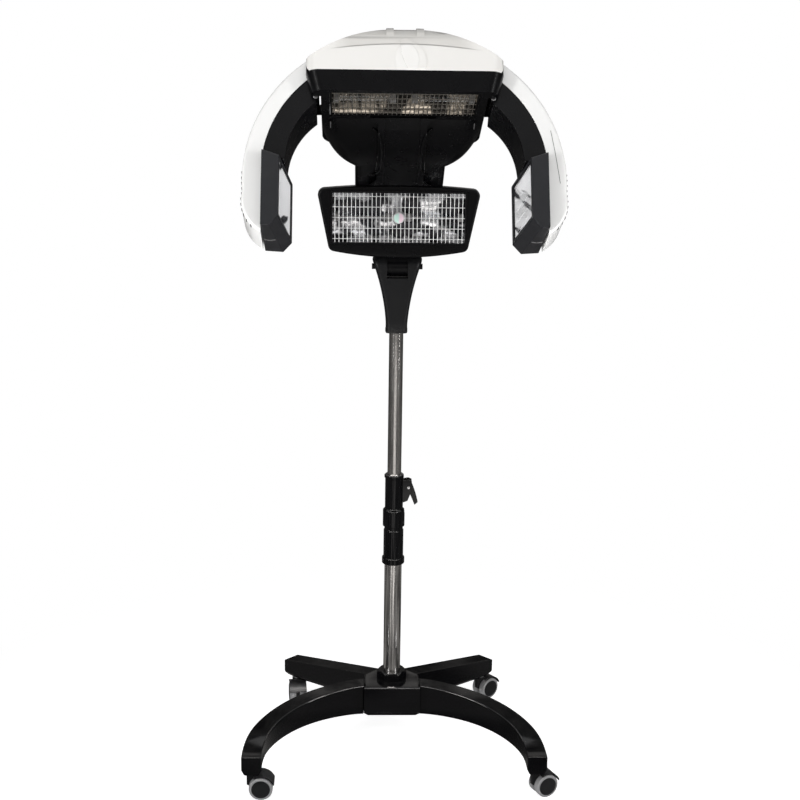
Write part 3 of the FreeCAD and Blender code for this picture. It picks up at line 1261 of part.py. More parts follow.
def arm(name, side):
    """An arm with its lamp box and module."""
    shell = arm_cover(name + "_arm_cover", side, 0)
    vent = new_sketch(shell, "YZ_Plane", "%d*(arm_low_x+12)" % side)
    box_loop(vent, "-arm_front/4", "arm_back*0.7", "arm_low_z-28", "arm_low_z-24.5")
    slot = extrude(shell, "Pocket", vent, "26", backward=side < 0)
    repeat(shell, slot, vent, "V_Axis", "64", 8)

    box = side_box(name + "_lamp_box", side)
    liner = arm_cover(name + "_liner_full", side, 1)
    NODES.remove(liner)
    barrel = new_sketch(liner, "XZ_Plane", "arm_front")
    circle(barrel, "%d*arm_pin_x" % side, "arm_pin_z", "2*arm_pin_radius+1")
    extrude(liner, "Pad", barrel, "arm_front+arm_back", backward=True)
    bore = new_sketch(liner, "XZ_Plane", "arm_front+5")
    circle(bore, "%d*arm_pin_x" % side, "arm_pin_z", "arm_pin_radius+run_gap")
    extrude(liner, "Pocket", bore, "arm_front+arm_back+10")
    combine(name + "_arm_liner", "Cut", liner, box)
    lamp_module(name, side_frame(side), "short_opening", 1)


def side_box(label, side):
    """A lamp box: a moulding with a sloping roof and a V-shaped floor, deeper at its rear end."""
    body = new_body(label, side_frame(side))
    half = "(short_opening/2+box_rim)"
    sill = "(opening_height/2+box_sill)"
    deep = "(box_far_depth+12)"
    across = new_sketch(body, "YZ_Plane", "-" + half)
    loop(across, [("0", "-" + sill), ("0", sill), ("box_near_depth", sill + "+12"), (deep, sill + "+13"),
                  (deep, "-(%s+12)" % sill), ("box_near_depth/2", "-(%s+17)" % sill)])
    extrude(body, "Pad", across, "2*" + half)
    soften(body, "Fillet", lambda p: near(abs(p.z), sill + "+6", 1), "4")
    wedge = new_sketch(body, "XY_Plane")
    front_end, back_end = "%d*(%s+1)" % (side, half), "-%d*(%s+1)" % (side, half)
    loop(wedge, [(front_end, "box_near_depth"), (front_end, deep + "+20"), (back_end, deep + "+20"),
                 (back_end, "box_far_depth")])
    extrude(body, "Pocket", wedge, "4*opening_height", both=True)
    window = new_sketch(body, "XZ_Plane", "1")
    box_loop(window, "-short_opening/2", "short_opening/2", "-opening_height/2", "opening_height/2")
    extrude(body, "Pocket", window, "1+grille_recess+rim_depth+fit_gap+reflector_depth+1")
    return body


# ---------------------------------------------------------------- controls on the nape shell's back
BACK_Y = "(shell_depth+bezel_depth-nape_front)"
PANEL_Y = "(%s+panel_depth)" % BACK_Y
KNOB_X = "(-panel_width*0.3)"
ROCKER_X = "(panel_width*0.34)"


def controls():
    panel = new_body("control_panel")
    plate = new_sketch(panel, "XZ_Plane", "-" + BACK_Y)
    box_loop(plate, "-panel_width/2", "panel_width/2", "panel_z-panel_height/2", "panel_z+panel_height/2")
    extrude(panel, "Pad", plate, "panel_depth", backward=True)
    soften(panel, "Fillet", lambda p: near(p.y, BACK_Y + "+panel_depth/2", 1), "8")
    soften(panel, "Fillet", lambda p: near(p.y, PANEL_Y), "2")
    for x, radius, depth in ((KNOB_X, "3+run_gap", "panel_depth-1"),
                             ("0", "button_radius+fit_gap", "panel_depth-1")):
        hole = new_sketch(panel, "XZ_Plane", "-" + PANEL_Y)
        circle(hole, x, "panel_z", radius)
        extrude(panel, "Pocket", hole, depth, backward=True)
    well = new_sketch(panel, "XZ_Plane", "-" + PANEL_Y)
    box_loop(well, ROCKER_X + "-rocker_width/2-0.5", ROCKER_X + "+rocker_width/2+0.5",
             "panel_z-rocker_height/2-0.8", "panel_z+rocker_height/2+0.8")
    extrude(panel, "Pocket", well, "panel_depth-1", backward=True)

    knob = new_body("timer_knob")
    profile = new_sketch(knob, "XY_Plane", "panel_z")
    loop(profile, [(KNOB_X, "%s-4" % PANEL_Y), (KNOB_X + "+3", "%s-4" % PANEL_Y),
                   (KNOB_X + "+3", "%s+fit_gap" % PANEL_Y), (KNOB_X + "+knob_radius", "%s+fit_gap" % PANEL_Y),
                   (KNOB_X + "+knob_radius", PANEL_Y + "+3"), (KNOB_X + "+knob_radius-3", PANEL_Y + "+5"),
                   (KNOB_X + "+knob_radius-4", PANEL_Y + "+15"), (KNOB_X + "+knob_radius-6", PANEL_Y + "+17"),
                   (KNOB_X, PANEL_Y + "+17")])
    spin = knob.newObject("PartDesign::Revolution", "revolution")
    spin.Profile = profile
    axis_start = Vector(value(KNOB_X), 0, 0)
    axis = profile.addGeometry(Part.LineSegment(axis_start, axis_start + Vector(0, 10, 0)), True)
    pin_point(profile, axis, 1, KNOB_X, "0")
    pin_point(profile, axis, 2, KNOB_X, "10")
    spin.ReferenceAxis = (profile, ["Axis0"])
    spin.Angle = 360.0
    doc.recompute()
    mark = new_sketch(knob, "XZ_Plane", "-(%s+17)" % PANEL_Y)
    box_loop(mark, KNOB_X + "-1", KNOB_X + "+1", "panel_z+2", "panel_z+knob_radius")
    extrude(knob, "Pocket", mark, "1.2", backward=True)

    button = new_body("start_button")
    press = new_sketch(button, "XZ_Plane", "-(%s-panel_depth+1+button_travel+fit_gap)" % PANEL_Y)
    circle(press, "0", "panel_z", "button_radius")
    extrude(button, "Pad", press, "panel_depth-1+2-fit_gap", backward=True)
    soften(button, "Chamfer", lambda p: p.y > value(PANEL_Y), "0.8")

    rocker_frame = placed(STAND, x=ROCKER_X, y=PANEL_Y + "-2.5", z="panel_z")
    rocker = new_body("power_switch", rocker_frame)
    side = new_sketch(rocker, "YZ_Plane", "-rocker_width/2")
    reach = "(rocker_height/2-0.6)"
    loop(side, [("-1.6", "-4"), ("1.5", "-" + reach), ("3.4", "-" + reach), ("1.9", "0"), ("2.6", reach),
                ("-1.2", reach), ("-2.6", "3")])
    extrude(rocker, "Pad", side, "rocker_width")

    inlet = new_body("mains_inlet")
    flange = new_sketch(inlet, "XZ_Plane", "-%s" % BACK_Y)
    box_loop(flange, "inlet_x-inlet_width/2-3.5", "inlet_x+inlet_width/2+3.5", INLET_Z + "-inlet_height/2-3.5",
             INLET_Z + "+inlet_height/2+3.5")
    extrude(inlet, "Pad", flange, "4", backward=True)
    soften(inlet, "Fillet", lambda p: near(p.y, BACK_Y + "+2", 1), "3")
    barrel = new_sketch(inlet, "XZ_Plane", "-%s" % BACK_Y)
    box_loop(barrel, "inlet_x-inlet_width/2", "inlet_x+inlet_width/2", INLET_Z + "-inlet_height/2",
             INLET_Z + "+inlet_height/2")
    extrude(inlet, "Pad", barrel, "inlet_depth")
    recess = new_sketch(inlet, "XZ_Plane", "-(%s+4)" % BACK_Y)
    box_loop(recess, "inlet_x+1.5-inlet_width/2", "inlet_x+inlet_width/2-1.5", INLET_Z + "-inlet_height/2+1.5",
             INLET_Z + "+inlet_height/2-1.5")
    extrude(inlet, "Pocket", recess, "inlet_depth+2", backward=True)
    pins = new_sketch(inlet, "XZ_Plane", "-(%s+2-inlet_depth)" % BACK_Y)
    for x, z in (("inlet_x-7", "-2"), ("inlet_x", "2"), ("inlet_x+7", "-2")):
        box_loop(pins, x + "-1", x + "+1", "%s+%s-2.5" % (INLET_Z, z), "%s+%s+2.5" % (INLET_Z, z))
    extrude(inlet, "Pad", pins, "inlet_depth-5", backward=True)
    return panel


# ---------------------------------------------------------------- assembly
def build_all():
    """Every piece in its place."""
    base_hub()
    for name, side in (("left", -1), ("right", 1)):
        front_leg("front_%s_leg" % name, side)
        rear_leg("rear_%s_leg" % name, side)
    leg_screws()
    for tag, x, y, heading in CASTERS:
        caster(tag, x, y, heading)
    for piece in (lower_tube, mast_nut, sleeve_ring, clamp_sleeve, clamp_pin, clamp_lever, slide_bush,
                  upper_tube, tilt_fork, tilt_pin, tilt_lug, nape_bezel, nape_shell, temperature_sensor,
                  cowl, hood, controls):
        piece()
    lamp_module("nape", NAPE, "long_opening", 2)
    lamp_module("hood", HOOD, "long_opening", 2)
    arm("left", -1)
    arm("right", 1)


def write_parts():
    """One STEP file for each piece, after every feature is seen to have computed."""
    doc.recompute()
    broken = [item.Name for item in doc.Objects if "Invalid" in item.State or "Error" in item.State]
    if broken:
        raise RuntimeError("features that failed: " + ", ".join(broken))
    os.makedirs("parts", exist_ok=True)
    for node in NODES:
        if node.Shape.isNull() or not node.Shape.isValid():
            raise RuntimeError("no valid shape: " + node.Label)
        node.Shape.exportStep("parts/%s.step" % node.Label)


build_all()
write_parts()
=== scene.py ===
"""Dresses the hair colour processor: finishes, fine pieces, camera and studio.

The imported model's frame is used throughout.  Sizes of pieces are named in millimetres and multiplied by
MM; those of the finishes, the camera and the studio are in metres.
"""

import json
import math

import bmesh
import bpy
from mathutils import Matrix, Vector
from mathutils.bvhtree import BVHTree


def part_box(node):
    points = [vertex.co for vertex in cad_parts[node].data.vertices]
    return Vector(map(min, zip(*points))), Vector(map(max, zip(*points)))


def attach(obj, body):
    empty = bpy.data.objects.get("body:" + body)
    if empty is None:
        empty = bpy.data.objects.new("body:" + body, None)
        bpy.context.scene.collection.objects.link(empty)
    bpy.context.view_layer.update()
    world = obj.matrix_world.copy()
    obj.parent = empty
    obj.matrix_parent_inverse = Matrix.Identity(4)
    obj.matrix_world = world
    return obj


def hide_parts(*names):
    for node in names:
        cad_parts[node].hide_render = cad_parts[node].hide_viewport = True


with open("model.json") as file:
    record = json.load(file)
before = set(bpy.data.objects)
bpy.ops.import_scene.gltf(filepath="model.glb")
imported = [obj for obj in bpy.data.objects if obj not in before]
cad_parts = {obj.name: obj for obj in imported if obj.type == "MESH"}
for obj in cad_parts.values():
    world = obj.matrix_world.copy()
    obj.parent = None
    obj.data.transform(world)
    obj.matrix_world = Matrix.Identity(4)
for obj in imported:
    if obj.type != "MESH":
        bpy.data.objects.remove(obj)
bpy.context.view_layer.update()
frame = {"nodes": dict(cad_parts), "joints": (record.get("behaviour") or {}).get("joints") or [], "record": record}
NODES = frame["nodes"]
BODY_OF = {node: body for body, nodes in frame["record"]["behaviour"]["bodies"].items() for node in nodes}
SLOT_OF = {entry["node"]: entry["material_slot"] for entry in frame["record"]["subparts"]}
MM = 0.001
FINISHES = {}
scene = bpy.context.scene


def middle(node):
    """The centre of a node's box."""
    low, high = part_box(node)
    return (Vector(low) + Vector(high)) / 2


MAST = middle("lower_tube")


# ---- wiring of node trees
class Wiring:
    """A shader or geometry tree that is filled one node at a time."""

    def __init__(self, tree):
        self.tree = tree

    def feed(self, socket, amount):
        """Give a socket a value, or join it to another socket."""
        if isinstance(amount, bpy.types.NodeSocket):
            self.tree.links.new(amount, socket)
        else:
            socket.default_value = amount

    def add(self, kind, inputs=(), **settings):
        """A node with its settings and inputs."""
        node = self.tree.nodes.new(kind)
        for name, setting in settings.items():
            setattr(node, name, setting)
        for socket, amount in dict(inputs).items():
            self.feed(node.inputs[socket], amount)
        return node

    def calc(self, operation, *amounts, clamp=False):
        """One step of arithmetic."""
        node = self.add("ShaderNodeMath", dict(enumerate(amounts)), operation=operation, use_clamp=clamp)
        return node.outputs[0]

    def plus(self, first, second, clamp=False):
        """The sum of two amounts."""
        return self.calc("ADD", first, second, clamp=clamp)

    def minus(self, first, second):
        """The first amount less the second."""
        return self.calc("SUBTRACT", first, second)

    def times(self, first, second):
        """The product of two amounts."""
        return self.calc("MULTIPLY", first, second)

    def ratio(self, first, second):
        """The first amount divided by the second."""
        return self.calc("DIVIDE", first, second)

    def spread(self, amount, low, high, to_low=0.0, to_high=1.0):
        """The part of a value between low and high, as a number from to_low to to_high."""
        limits = {"Value": amount, "From Min": low, "From Max": high, "To Min": to_low, "To Max": to_high}
        return self.add("ShaderNodeMapRange", limits, interpolation_type="SMOOTHSTEP").outputs[0]

    def mix(self, share, first, second, blend_type="MIX"):
        """A colour between two colours."""
        return self.add("ShaderNodeMix", {0: share, 6: first, 7: second}, data_type="RGBA",
                        blend_type=blend_type).outputs[2]

    def noise(self, place, scale, detail=3.0, roughness=0.5, distortion=0.0):
        """Soft noise at a place."""
        return self.add("ShaderNodeTexNoise", {
            "Vector": place, "Scale": scale, "Detail": detail, "Roughness": roughness,
            "Distortion": distortion}).outputs["Fac"]

    def cells(self, place, scale, smoothness=1.0):
        """Rounded cells at a place."""
        return self.add("ShaderNodeTexVoronoi", {"Vector": place, "Scale": scale, "Smoothness": smoothness},
                        feature="SMOOTH_F1").outputs["Distance"]

    def spot(self):
        """The place on the piece, in metres."""
        return self.add("ShaderNodeTexCoord").outputs["Object"]

    def vector(self, x=0.0, y=0.0, z=0.0):
        """A vector from three numbers or sockets."""
        return self.add("ShaderNodeCombineXYZ", {"X": x, "Y": y, "Z": z}).outputs[0]

    def axis(self, vector, letter):
        """One coordinate of a vector."""
        return self.add("ShaderNodeSeparateXYZ", {0: vector}).outputs[letter]


# The kind of socket that a default asks for; an empty name stands for a material.
SOCKETS = {float: "Float", int: "Int", tuple: "Vector", str: "Material"}


def node_tree(name, kind, *outputs, **inputs):
    """An empty shader or geometry tree with its named sockets, and what fills it."""
    tree = bpy.data.node_groups.new(name, kind + "NodeTree")
    if kind == "Geometry":
        for way in ("INPUT", "OUTPUT"):
            tree.interface.new_socket("Geometry", in_out=way, socket_type="NodeSocketGeometry")
    for title, default in inputs.items():
        socket = tree.interface.new_socket(title.replace("_", " "), in_out="INPUT",
                                           socket_type="NodeSocket" + SOCKETS[type(default)])
        if default:
            socket.default_value = default
    for title in outputs:
        tree.interface.new_socket(title, in_out="OUTPUT", socket_type="NodeSocketFloat")
    wiring = Wiring(tree)
    return wiring, wiring.add("NodeGroupInput").outputs, wiring.add("NodeGroupOutput").inputs


def build_edge_wear():
    """A mask along worn edges, broken up by noise."""
    wiring, entry, leave = node_tree("edge_wear", "Shader", "Mask", Radius=0.0008, Scale=90.0, Amount=0.5)
    rounded = wiring.add("ShaderNodeBevel", {"Radius": entry["Radius"]}, samples=4).outputs[0]
    facing = wiring.add("ShaderNodeNewGeometry").outputs["Normal"]
    match = wiring.add("ShaderNodeVectorMath", {0: rounded, 1: facing}, operation="DOT_PRODUCT")
    edge = wiring.spread(match.outputs["Value"], 0.995, 0.86)
    broken = wiring.spread(wiring.noise(wiring.spot(), entry["Scale"], 5.0, 0.65), 0.42, 0.62)
    wiring.feed(leave["Mask"], wiring.times(wiring.times(edge, broken), entry["Amount"]))
    return wiring.tree


def build_dust():
    """A mask of settled dust on faces that look up."""
    wiring, entry, leave = node_tree("dust", "Shader", "Mask", Scale=40.0, Amount=0.2)
    facing = wiring.add("ShaderNodeNewGeometry").outputs["Normal"]
    upward = wiring.spread(wiring.axis(facing, "Z"), 0.2, 1.0)
    painted_reflections = wiring.spread(wiring.noise(wiring.spot(), entry["Scale"], 4.0, 0.7), 0.35, 0.75)
    wiring.feed(leave["Mask"], wiring.times(wiring.times(upward, painted_reflections), entry["Amount"]))
    return wiring.tree


def build_moulding():
    """Height of a moulded or sprayed skin: slow waves with a fine grain on top, and a slow tone."""
    wiring, entry, leave = node_tree("moulding", "Shader", "Height", "Tone", Wave_Scale=60.0, Wave_Depth=1.0,
                                     Grain_Scale=900.0, Grain_Depth=0.2)
    spot = wiring.spot()
    wave = wiring.times(wiring.noise(spot, entry["Wave Scale"], 1.5), entry["Wave Depth"])
    grain = wiring.times(wiring.cells(spot, entry["Grain Scale"]), entry["Grain Depth"])
    wiring.feed(leave["Height"], wiring.plus(wave, grain))
    wiring.feed(leave["Tone"], wiring.noise(spot, 7.0, 3.0, 0.6))
    return wiring.tree


def build_smudges():
    """A slow change of gloss left by hands and cleaning."""
    wiring, entry, leave = node_tree("smudges", "Shader", "Value", Scale=18.0, Amount=0.06)
    warped = wiring.noise(wiring.spot(), entry["Scale"], 4.0, distortion=1.6)
    wiring.feed(leave["Value"], wiring.times(wiring.spread(warped, 0.38, 0.72), entry["Amount"]))
    return wiring.tree


def build_drawn_metal():
    """Fine lines, drawn out along an axis by the Mapping in the material."""
    wiring, entry, leave = node_tree("drawn_metal", "Shader", "Height", "Tone", Place=(0.0, 0.0, 0.0),
                                     Scale=700.0, Depth=1.0)
    lines = wiring.noise(entry["Place"], entry["Scale"], 3.0, 0.6)
    wiring.feed(leave["Height"], wiring.times(lines, entry["Depth"]))
    wiring.feed(leave["Tone"], wiring.spread(lines, 0.3, 0.7))
    return wiring.tree


GROUPS = {"edge_wear": build_edge_wear(), "dust": build_dust(), "moulding": build_moulding(),
          "smudges": build_smudges(), "drawn_metal": build_drawn_metal()}


# ---- finishes
DUST_GREY = (0.42, 0.41, 0.39, 1)


class Finish(Wiring):
    """A material whose Principled shader is fed socket by socket."""

    def __init__(self, name):
        material = bpy.data.materials.new(name)
        material.use_nodes = True
        super().__init__(material.node_tree)
        self.sockets = material.node_tree.nodes["Principled BSDF"].inputs
        FINISHES[name] = material

    def put(self, title, amount):
        """Give a socket of the shader a value, or join it to another socket."""
        self.feed(self.sockets[title], amount)

    def use(self, group, **inputs):
        """One shared group with this material's own values."""
        node = self.add("ShaderNodeGroup", node_tree=GROUPS[group])
        for title, amount in inputs.items():
            self.feed(node.inputs[title.replace("_", " ").title()], amount)
        return node.outputs

    def smudged(self, roughness, **smudges):
        """A roughness with smudges on it."""
        return self.plus(self.use("smudges", **smudges)["Value"], roughness)

    def relief(self, strength, distance, height, **under):
        """Raise the surface by a height, at most the distance in millimetres, over any relief under it."""
        bump = self.add("ShaderNodeBump", {"Strength": strength, "Distance": distance * MM,
                                           "Height": height, **under})
        self.put("Normal", bump.outputs[0])


def opaque(colour, share=1.0):
    """A colour, or a share of it, with its alpha."""
    return tuple(part * share for part in colour) + (1,)


def skin(name, colour, roughness, worn, *, shade=0.12, wave=(60.0, 1.0), grain=(900.0, 0.2), bump=0.1,
         wear=(0.0008, 90.0, 0.4), dust=0.12, smudge=0.06, **shader):
    """A paint or moulding: toned colour, worn edges, settled dust, smudges and a moulded skin."""
    coat = Finish(name)
    moulded = coat.use("moulding", wave_scale=wave[0], wave_depth=wave[1], grain_scale=grain[0],
                       grain_depth=grain[1])
    edge = coat.use("edge_wear", radius=wear[0], scale=wear[1], amount=wear[2])["Mask"]
    settled = coat.use("dust", amount=dust)["Mask"]
    toned = coat.mix(moulded["Tone"], opaque(colour, 1 - shade), opaque(colour))
    coat.put("Base Color", coat.mix(settled, coat.mix(edge, toned, opaque(worn)), DUST_GREY))
    coat.put("Roughness", coat.plus(coat.smudged(roughness, amount=smudge), coat.times(settled, 0.5),
                                    clamp=True))
    coat.relief(bump, 0.4, moulded["Height"])
    for title, amount in shader.items():
        coat.put(title.replace("_", " ").title().replace("Ior", "IOR"), amount)
    return coat


def plated(name, colour, roughness, *, stretch=(1.0, 1.0, 1.0), scale=420.0, bump=0.15, metal=1.0):
    """Bare or plated metal with drawn lines, smudges and a little dust."""
    plate = Finish(name)
    place = plate.add("ShaderNodeMapping", {"Vector": plate.spot(), "Scale": stretch}).outputs[0]
    lines = plate.use("drawn_metal", place=place, scale=scale)
    settled = plate.use("dust", amount=0.05)["Mask"]
    tinted = plate.mix(lines["Tone"], opaque(colour, 0.88), opaque(colour))
    plate.put("Base Color", plate.mix(settled, tinted, DUST_GREY))
    plate.put("Metallic", metal)
    plate.put("Roughness", plate.plus(plate.smudged(roughness, amount=0.05), plate.times(lines["Tone"], 0.04),
                                      clamp=True))
    plate.relief(bump, 0.2, lines["Height"])


def build_reflector_finish(name, reflected_light, reflected_dark, *, scale, turn=(0.0, 0.0, 0.0), stretch=(1.0, 1.0, 1.0),
                           metal=1.0, limits=(0.45, 0.53)):
    """Polished sheet with soft dents and painted reflections: hard-edged light and dark areas in its colour, like
    those that a well-lit room leaves in it.
    """
    sheet = Finish(name)
    spot = sheet.spot()
    dents = sheet.plus(sheet.cells(spot, 95.0, 0.6), sheet.times(sheet.noise(spot, 55.0, 2.0), 1.4))
    laid = sheet.add("ShaderNodeMapping", {"Vector": spot, "Rotation": turn, "Scale": stretch}).outputs[0]
    # Painted reflections: light and dark areas of the base colour stand in for the room seen in the sheet.
    painted_reflections = sheet.spread(sheet.noise(laid, scale, 2.0), *limits)
    settled = sheet.use("dust", amount=0.1)["Mask"]
    sheet.put("Base Color", sheet.mix(settled, sheet.mix(painted_reflections, opaque(reflected_dark), opaque(reflected_light)),
                                      (0.5, 0.5, 0.48, 1)))
    sheet.put("Metallic", metal)
    sheet.put("Roughness", sheet.smudged(0.06, scale=40.0, amount=0.1))
    sheet.relief(0.25, 1.2, dents)


CREASE_HEIGHT, CREASE_DROP, CREASE_HALF = 1.5435, 0.0085, 0.128
LEAF_MIDDLE, LEAF_HALF = (0.003, 1.516), (0.022, 0.029)
CREASE_EDGE = 0.0014


def crease_cap(cap):
    """The crease across the cap as a step in its relief, painted shade on the top of the cap above the crease, and
    the leaf pressed into its front with a painted highlight.
    """
    spot = cap.spot()
    height = cap.axis(spot, "Z")
    aside = cap.minus(cap.axis(spot, "X"), MAST.x)
    share = cap.ratio(aside, CREASE_HALF)
    line = cap.minus(CREASE_HEIGHT, cap.times(cap.times(share, share), CREASE_DROP))
    over = cap.spread(cap.minus(height, line), -CREASE_EDGE, CREASE_EDGE)
    crown_step_and_shade = cap.times(over, cap.spread(cap.calc("ABSOLUTE", share), 1.15, 0.75))
    across = cap.ratio(cap.minus(aside, LEAF_MIDDLE[0]), LEAF_HALF[0])
    up = cap.ratio(cap.minus(height, LEAF_MIDDLE[1]), LEAF_HALF[1])
    leaf_and_highlight = cap.spread(cap.plus(cap.times(across, across), cap.times(up, up)), 1.15, 0.8)
    base = cap.sockets["Base Color"].links[0].from_socket
    # Painted shade: the top of the cap above the crease is darkened in the base colour, standing in for less light
    # falling on it.
    crown_painted_shade = cap.mix(crown_step_and_shade, base, (0.80, 0.795, 0.785, 1), "MULTIPLY")
    # Painted highlight: the leaf is lightened in the base colour; its relief below is real.
    cap.put("Base Color", cap.mix(cap.times(leaf_and_highlight, 0.5), crown_painted_shade, (0.93, 0.92, 0.90, 1)))
    cap.relief(0.8, 3.0, cap.plus(cap.times(crown_step_and_shade, -1.0), cap.times(leaf_and_highlight, 0.35)),
               Normal=cap.sockets["Normal"].links[0].from_socket)


def build_quartz_finish():
    """Clear quartz with a faint drawn texture."""
    quartz = Finish("quartz")
    for title, amount in (("Base Color", (0.93, 0.94, 0.95, 1)), ("Transmission Weight", 1.0), ("IOR", 1.45)):
        quartz.put(title, amount)
    quartz.put("Roughness", quartz.smudged(0.02, scale=60.0, amount=0.06))
    waves = quartz.use("moulding", wave_scale=160.0, wave_depth=1.0, grain_depth=0.0)["Height"]
    quartz.relief(0.08, 0.3, waves)


LENS_BLEND = 2.0


def build_lens_finish():
    """A coated lens, green on its left half and pink on its right."""
    lens = Finish("sensor_lens")
    spot, seam = lens.spot(), middle("temperature_sensor").x
    wobble = lens.times(lens.minus(lens.noise(spot, 220.0, 3.0), 0.5), 0.006)
    across = lens.plus(lens.axis(spot, "X"), wobble)
    half = lens.spread(across, seam - LENS_BLEND * MM, seam + LENS_BLEND * MM)
    lens.put("Base Color", lens.mix(half, (0.55, 0.78, 0.70, 1), (0.78, 0.60, 0.68, 1)))
    lens.put("Roughness", lens.smudged(0.08, scale=90.0, amount=0.1))
    lens.put("Coat Weight", 1.0)
    lens.put("Coat Roughness", 0.03)
    rings = lens.use("moulding", wave_scale=300.0, wave_depth=1.0, grain_depth=0.0)["Height"]
    lens.relief(0.2, 0.4, rings)


def build_finishes():
    """Every finish of the object."""
    skin("gloss_black_metal", (0.002, 0.002, 0.0024), 0.08, (0.03, 0.03, 0.032), wave=(45.0, 1.0),
         grain=(1500.0, 0.05), bump=0.12, wear=(0.0007, 120.0, 0.35), dust=0.02, coat_weight=0.15,
         coat_roughness=0.04, specular_ior_level=0.2)
    skin("black_shell", (0.0022, 0.0022, 0.0027), 0.27, (0.02, 0.02, 0.022), wave=(38.0, 1.0),
         grain=(2600.0, 0.35), wear=(0.0006, 110.0, 0.3), dust=0.01, specular_ior_level=0.16)
    skin("charcoal_box", (0.019, 0.0195, 0.022), 0.34, (0.05, 0.05, 0.055), wave=(38.0, 1.0),
         grain=(2600.0, 0.5), bump=0.12, wear=(0.0006, 110.0, 0.3), dust=0.03, specular_ior_level=0.22)
    smooth = {"wave": (30.0, 1.0), "grain": (1800.0, 0.06), "bump": 0.08, "wear": (0.0006, 100.0, 0.3),
              "smudge": 0.05, "coat_weight": 0.3, "coat_roughness": 0.08}
    skin("white_shell", (0.93, 0.927, 0.915), 0.22, (0.78, 0.775, 0.76), shade=0.03, dust=0.05, **smooth)
    crease_cap(skin("pearl_shell", (0.88, 0.865, 0.835), 0.2, (0.7, 0.69, 0.67), shade=0.05, dust=0.04,
                    **smooth))
    skin("black_mould", (0.0045, 0.0047, 0.0056), 0.42, (0.05, 0.05, 0.05), wave=(80.0, 0.5),
         grain=(1500.0, 1.0), bump=0.22, wear=(0.0006, 120.0, 0.45), dust=0.03, specular_ior_level=0.3)
    skin("grey_tread", (0.21, 0.21, 0.215), 0.55, (0.3, 0.3, 0.3), wave=(120.0, 0.6), grain=(1300.0, 1.0),
         bump=0.3, wear=(0.001, 60.0, 0.6), dust=0.25)
    skin("bush", (0.03, 0.03, 0.031), 0.4, (0.08, 0.08, 0.08), bump=0.08, dust=0.03)
    skin("green_button", (0.03, 0.32, 0.07), 0.25, (0.1, 0.4, 0.15), shade=0.1, bump=0.08, dust=0.08)
    skin("panel_grey", (0.035, 0.036, 0.038), 0.5, (0.1, 0.1, 0.1), wave=(80.0, 0.3), grain=(1900.0, 1.2),
         bump=0.25, dust=0.15)
    skin("pale_print", (0.75, 0.75, 0.73), 0.5, (0.6, 0.6, 0.6), bump=0.05, dust=0.1)
    skin("ceramic", (0.16, 0.155, 0.15), 0.5, (0.3, 0.3, 0.28), wave=(90.0, 0.6), grain=(1400.0, 0.6),
         bump=0.2)
    # Painted shade: near-black beads on the arm covers stand in for the shade inside vent openings.
    skin("dark_gap", (0.004, 0.004, 0.004), 0.7, (0.01, 0.01, 0.01))
    # The lower tube's chrome is the same as the upper tube's, painted lighter to stand in for more light on it.
    for name, colour, roughness in (("chrome_tube", (0.60, 0.585, 0.57), 0.10),
                                    ("chrome_foot", (0.78, 0.765, 0.75), 0.12)):
        plated(name, colour, roughness, stretch=(1.0, 1.0, 0.02), scale=700.0, bump=0.05)
    plated("steel", (0.56, 0.56, 0.57), 0.28)
    plated("dark_pin", (0.03, 0.03, 0.032), 0.3)
    # Painted light: one kind of grille wire in a lit copy, nearly white, and a shaded copy, dark brown, for the
    # hood grille that faces down.
    plated("bright_wire", (0.95, 0.95, 0.95), 0.2, scale=500.0, bump=0.1, metal=0.4)
    plated("dull_wire", (0.30, 0.28, 0.25), 0.3, scale=500.0, bump=0.1, metal=0.8)
    plated("filament", (0.35, 0.27, 0.22), 0.35, scale=900.0, bump=0.05)
    # The reflectors' base colours are painted reflections; the side mirror, with little metal, is almost all
    # painted.
    build_reflector_finish("nape_mirror", (0.85, 0.85, 0.87), (0.04, 0.04, 0.045), scale=26.0, metal=0.8,
                           limits=(0.47, 0.55))
    build_reflector_finish("hood_mirror", (0.62, 0.55, 0.46), (0.05, 0.045, 0.04), scale=34.0, metal=0.9,
                           stretch=(1.0, 0.4, 0.4))
    build_reflector_finish("side_mirror", (0.98, 0.98, 0.99), (0.03, 0.03, 0.035), scale=15.0, metal=0.1,
                           turn=(0.9, 0.0, 0.0), stretch=(0.5, 0.25, 2.0), limits=(0.41, 0.45))
    build_quartz_finish()
    build_lens_finish()


# ---- meshes
WELD, SLIVER = 0.004, 0.003
FLAT_ANGLE, SHARP_ANGLE = math.radians(0.5), math.radians(30)
BEVEL_ROOM = 1.15


def smoothed(mesh, angle):
    """Smooth shading with edges past the angle, in degrees, kept sharp."""
    mesh.polygons.foreach_set("use_smooth", [True] * len(mesh.polygons))
    mesh.set_sharp_from_angle(angle=math.radians(angle))
    mesh.update()
    return mesh


def drawn(name, shape):
    """A mesh from a finished bmesh shape."""
    mesh = bpy.data.meshes.new(name)
    shape.to_mesh(mesh)
    shape.free()
    return mesh


def welded(node):
    """A closed copy of a node's mesh with fewer triangles on its flat faces."""
    mesh = NODES[node].data.copy()
    mesh.materials.clear()
    for name in ("custom_normal", "sharp_edge", "sharp_face"):
        if name in mesh.attributes:
            mesh.attributes.remove(mesh.attributes[name])
    shape = bmesh.new()
    shape.from_mesh(mesh)
    bmesh.ops.remove_doubles(shape, verts=shape.verts, dist=WELD * MM)
    bmesh.ops.dissolve_degenerate(shape, edges=shape.edges, dist=SLIVER * MM)
    bmesh.ops.dissolve_limit(shape, angle_limit=FLAT_ANGLE, verts=shape.verts, edges=shape.edges)
    bmesh.ops.triangulate(shape, faces=[face for face in shape.faces if len(face.verts) > 4])
    shape.to_mesh(mesh)
    shape.free()
    return mesh


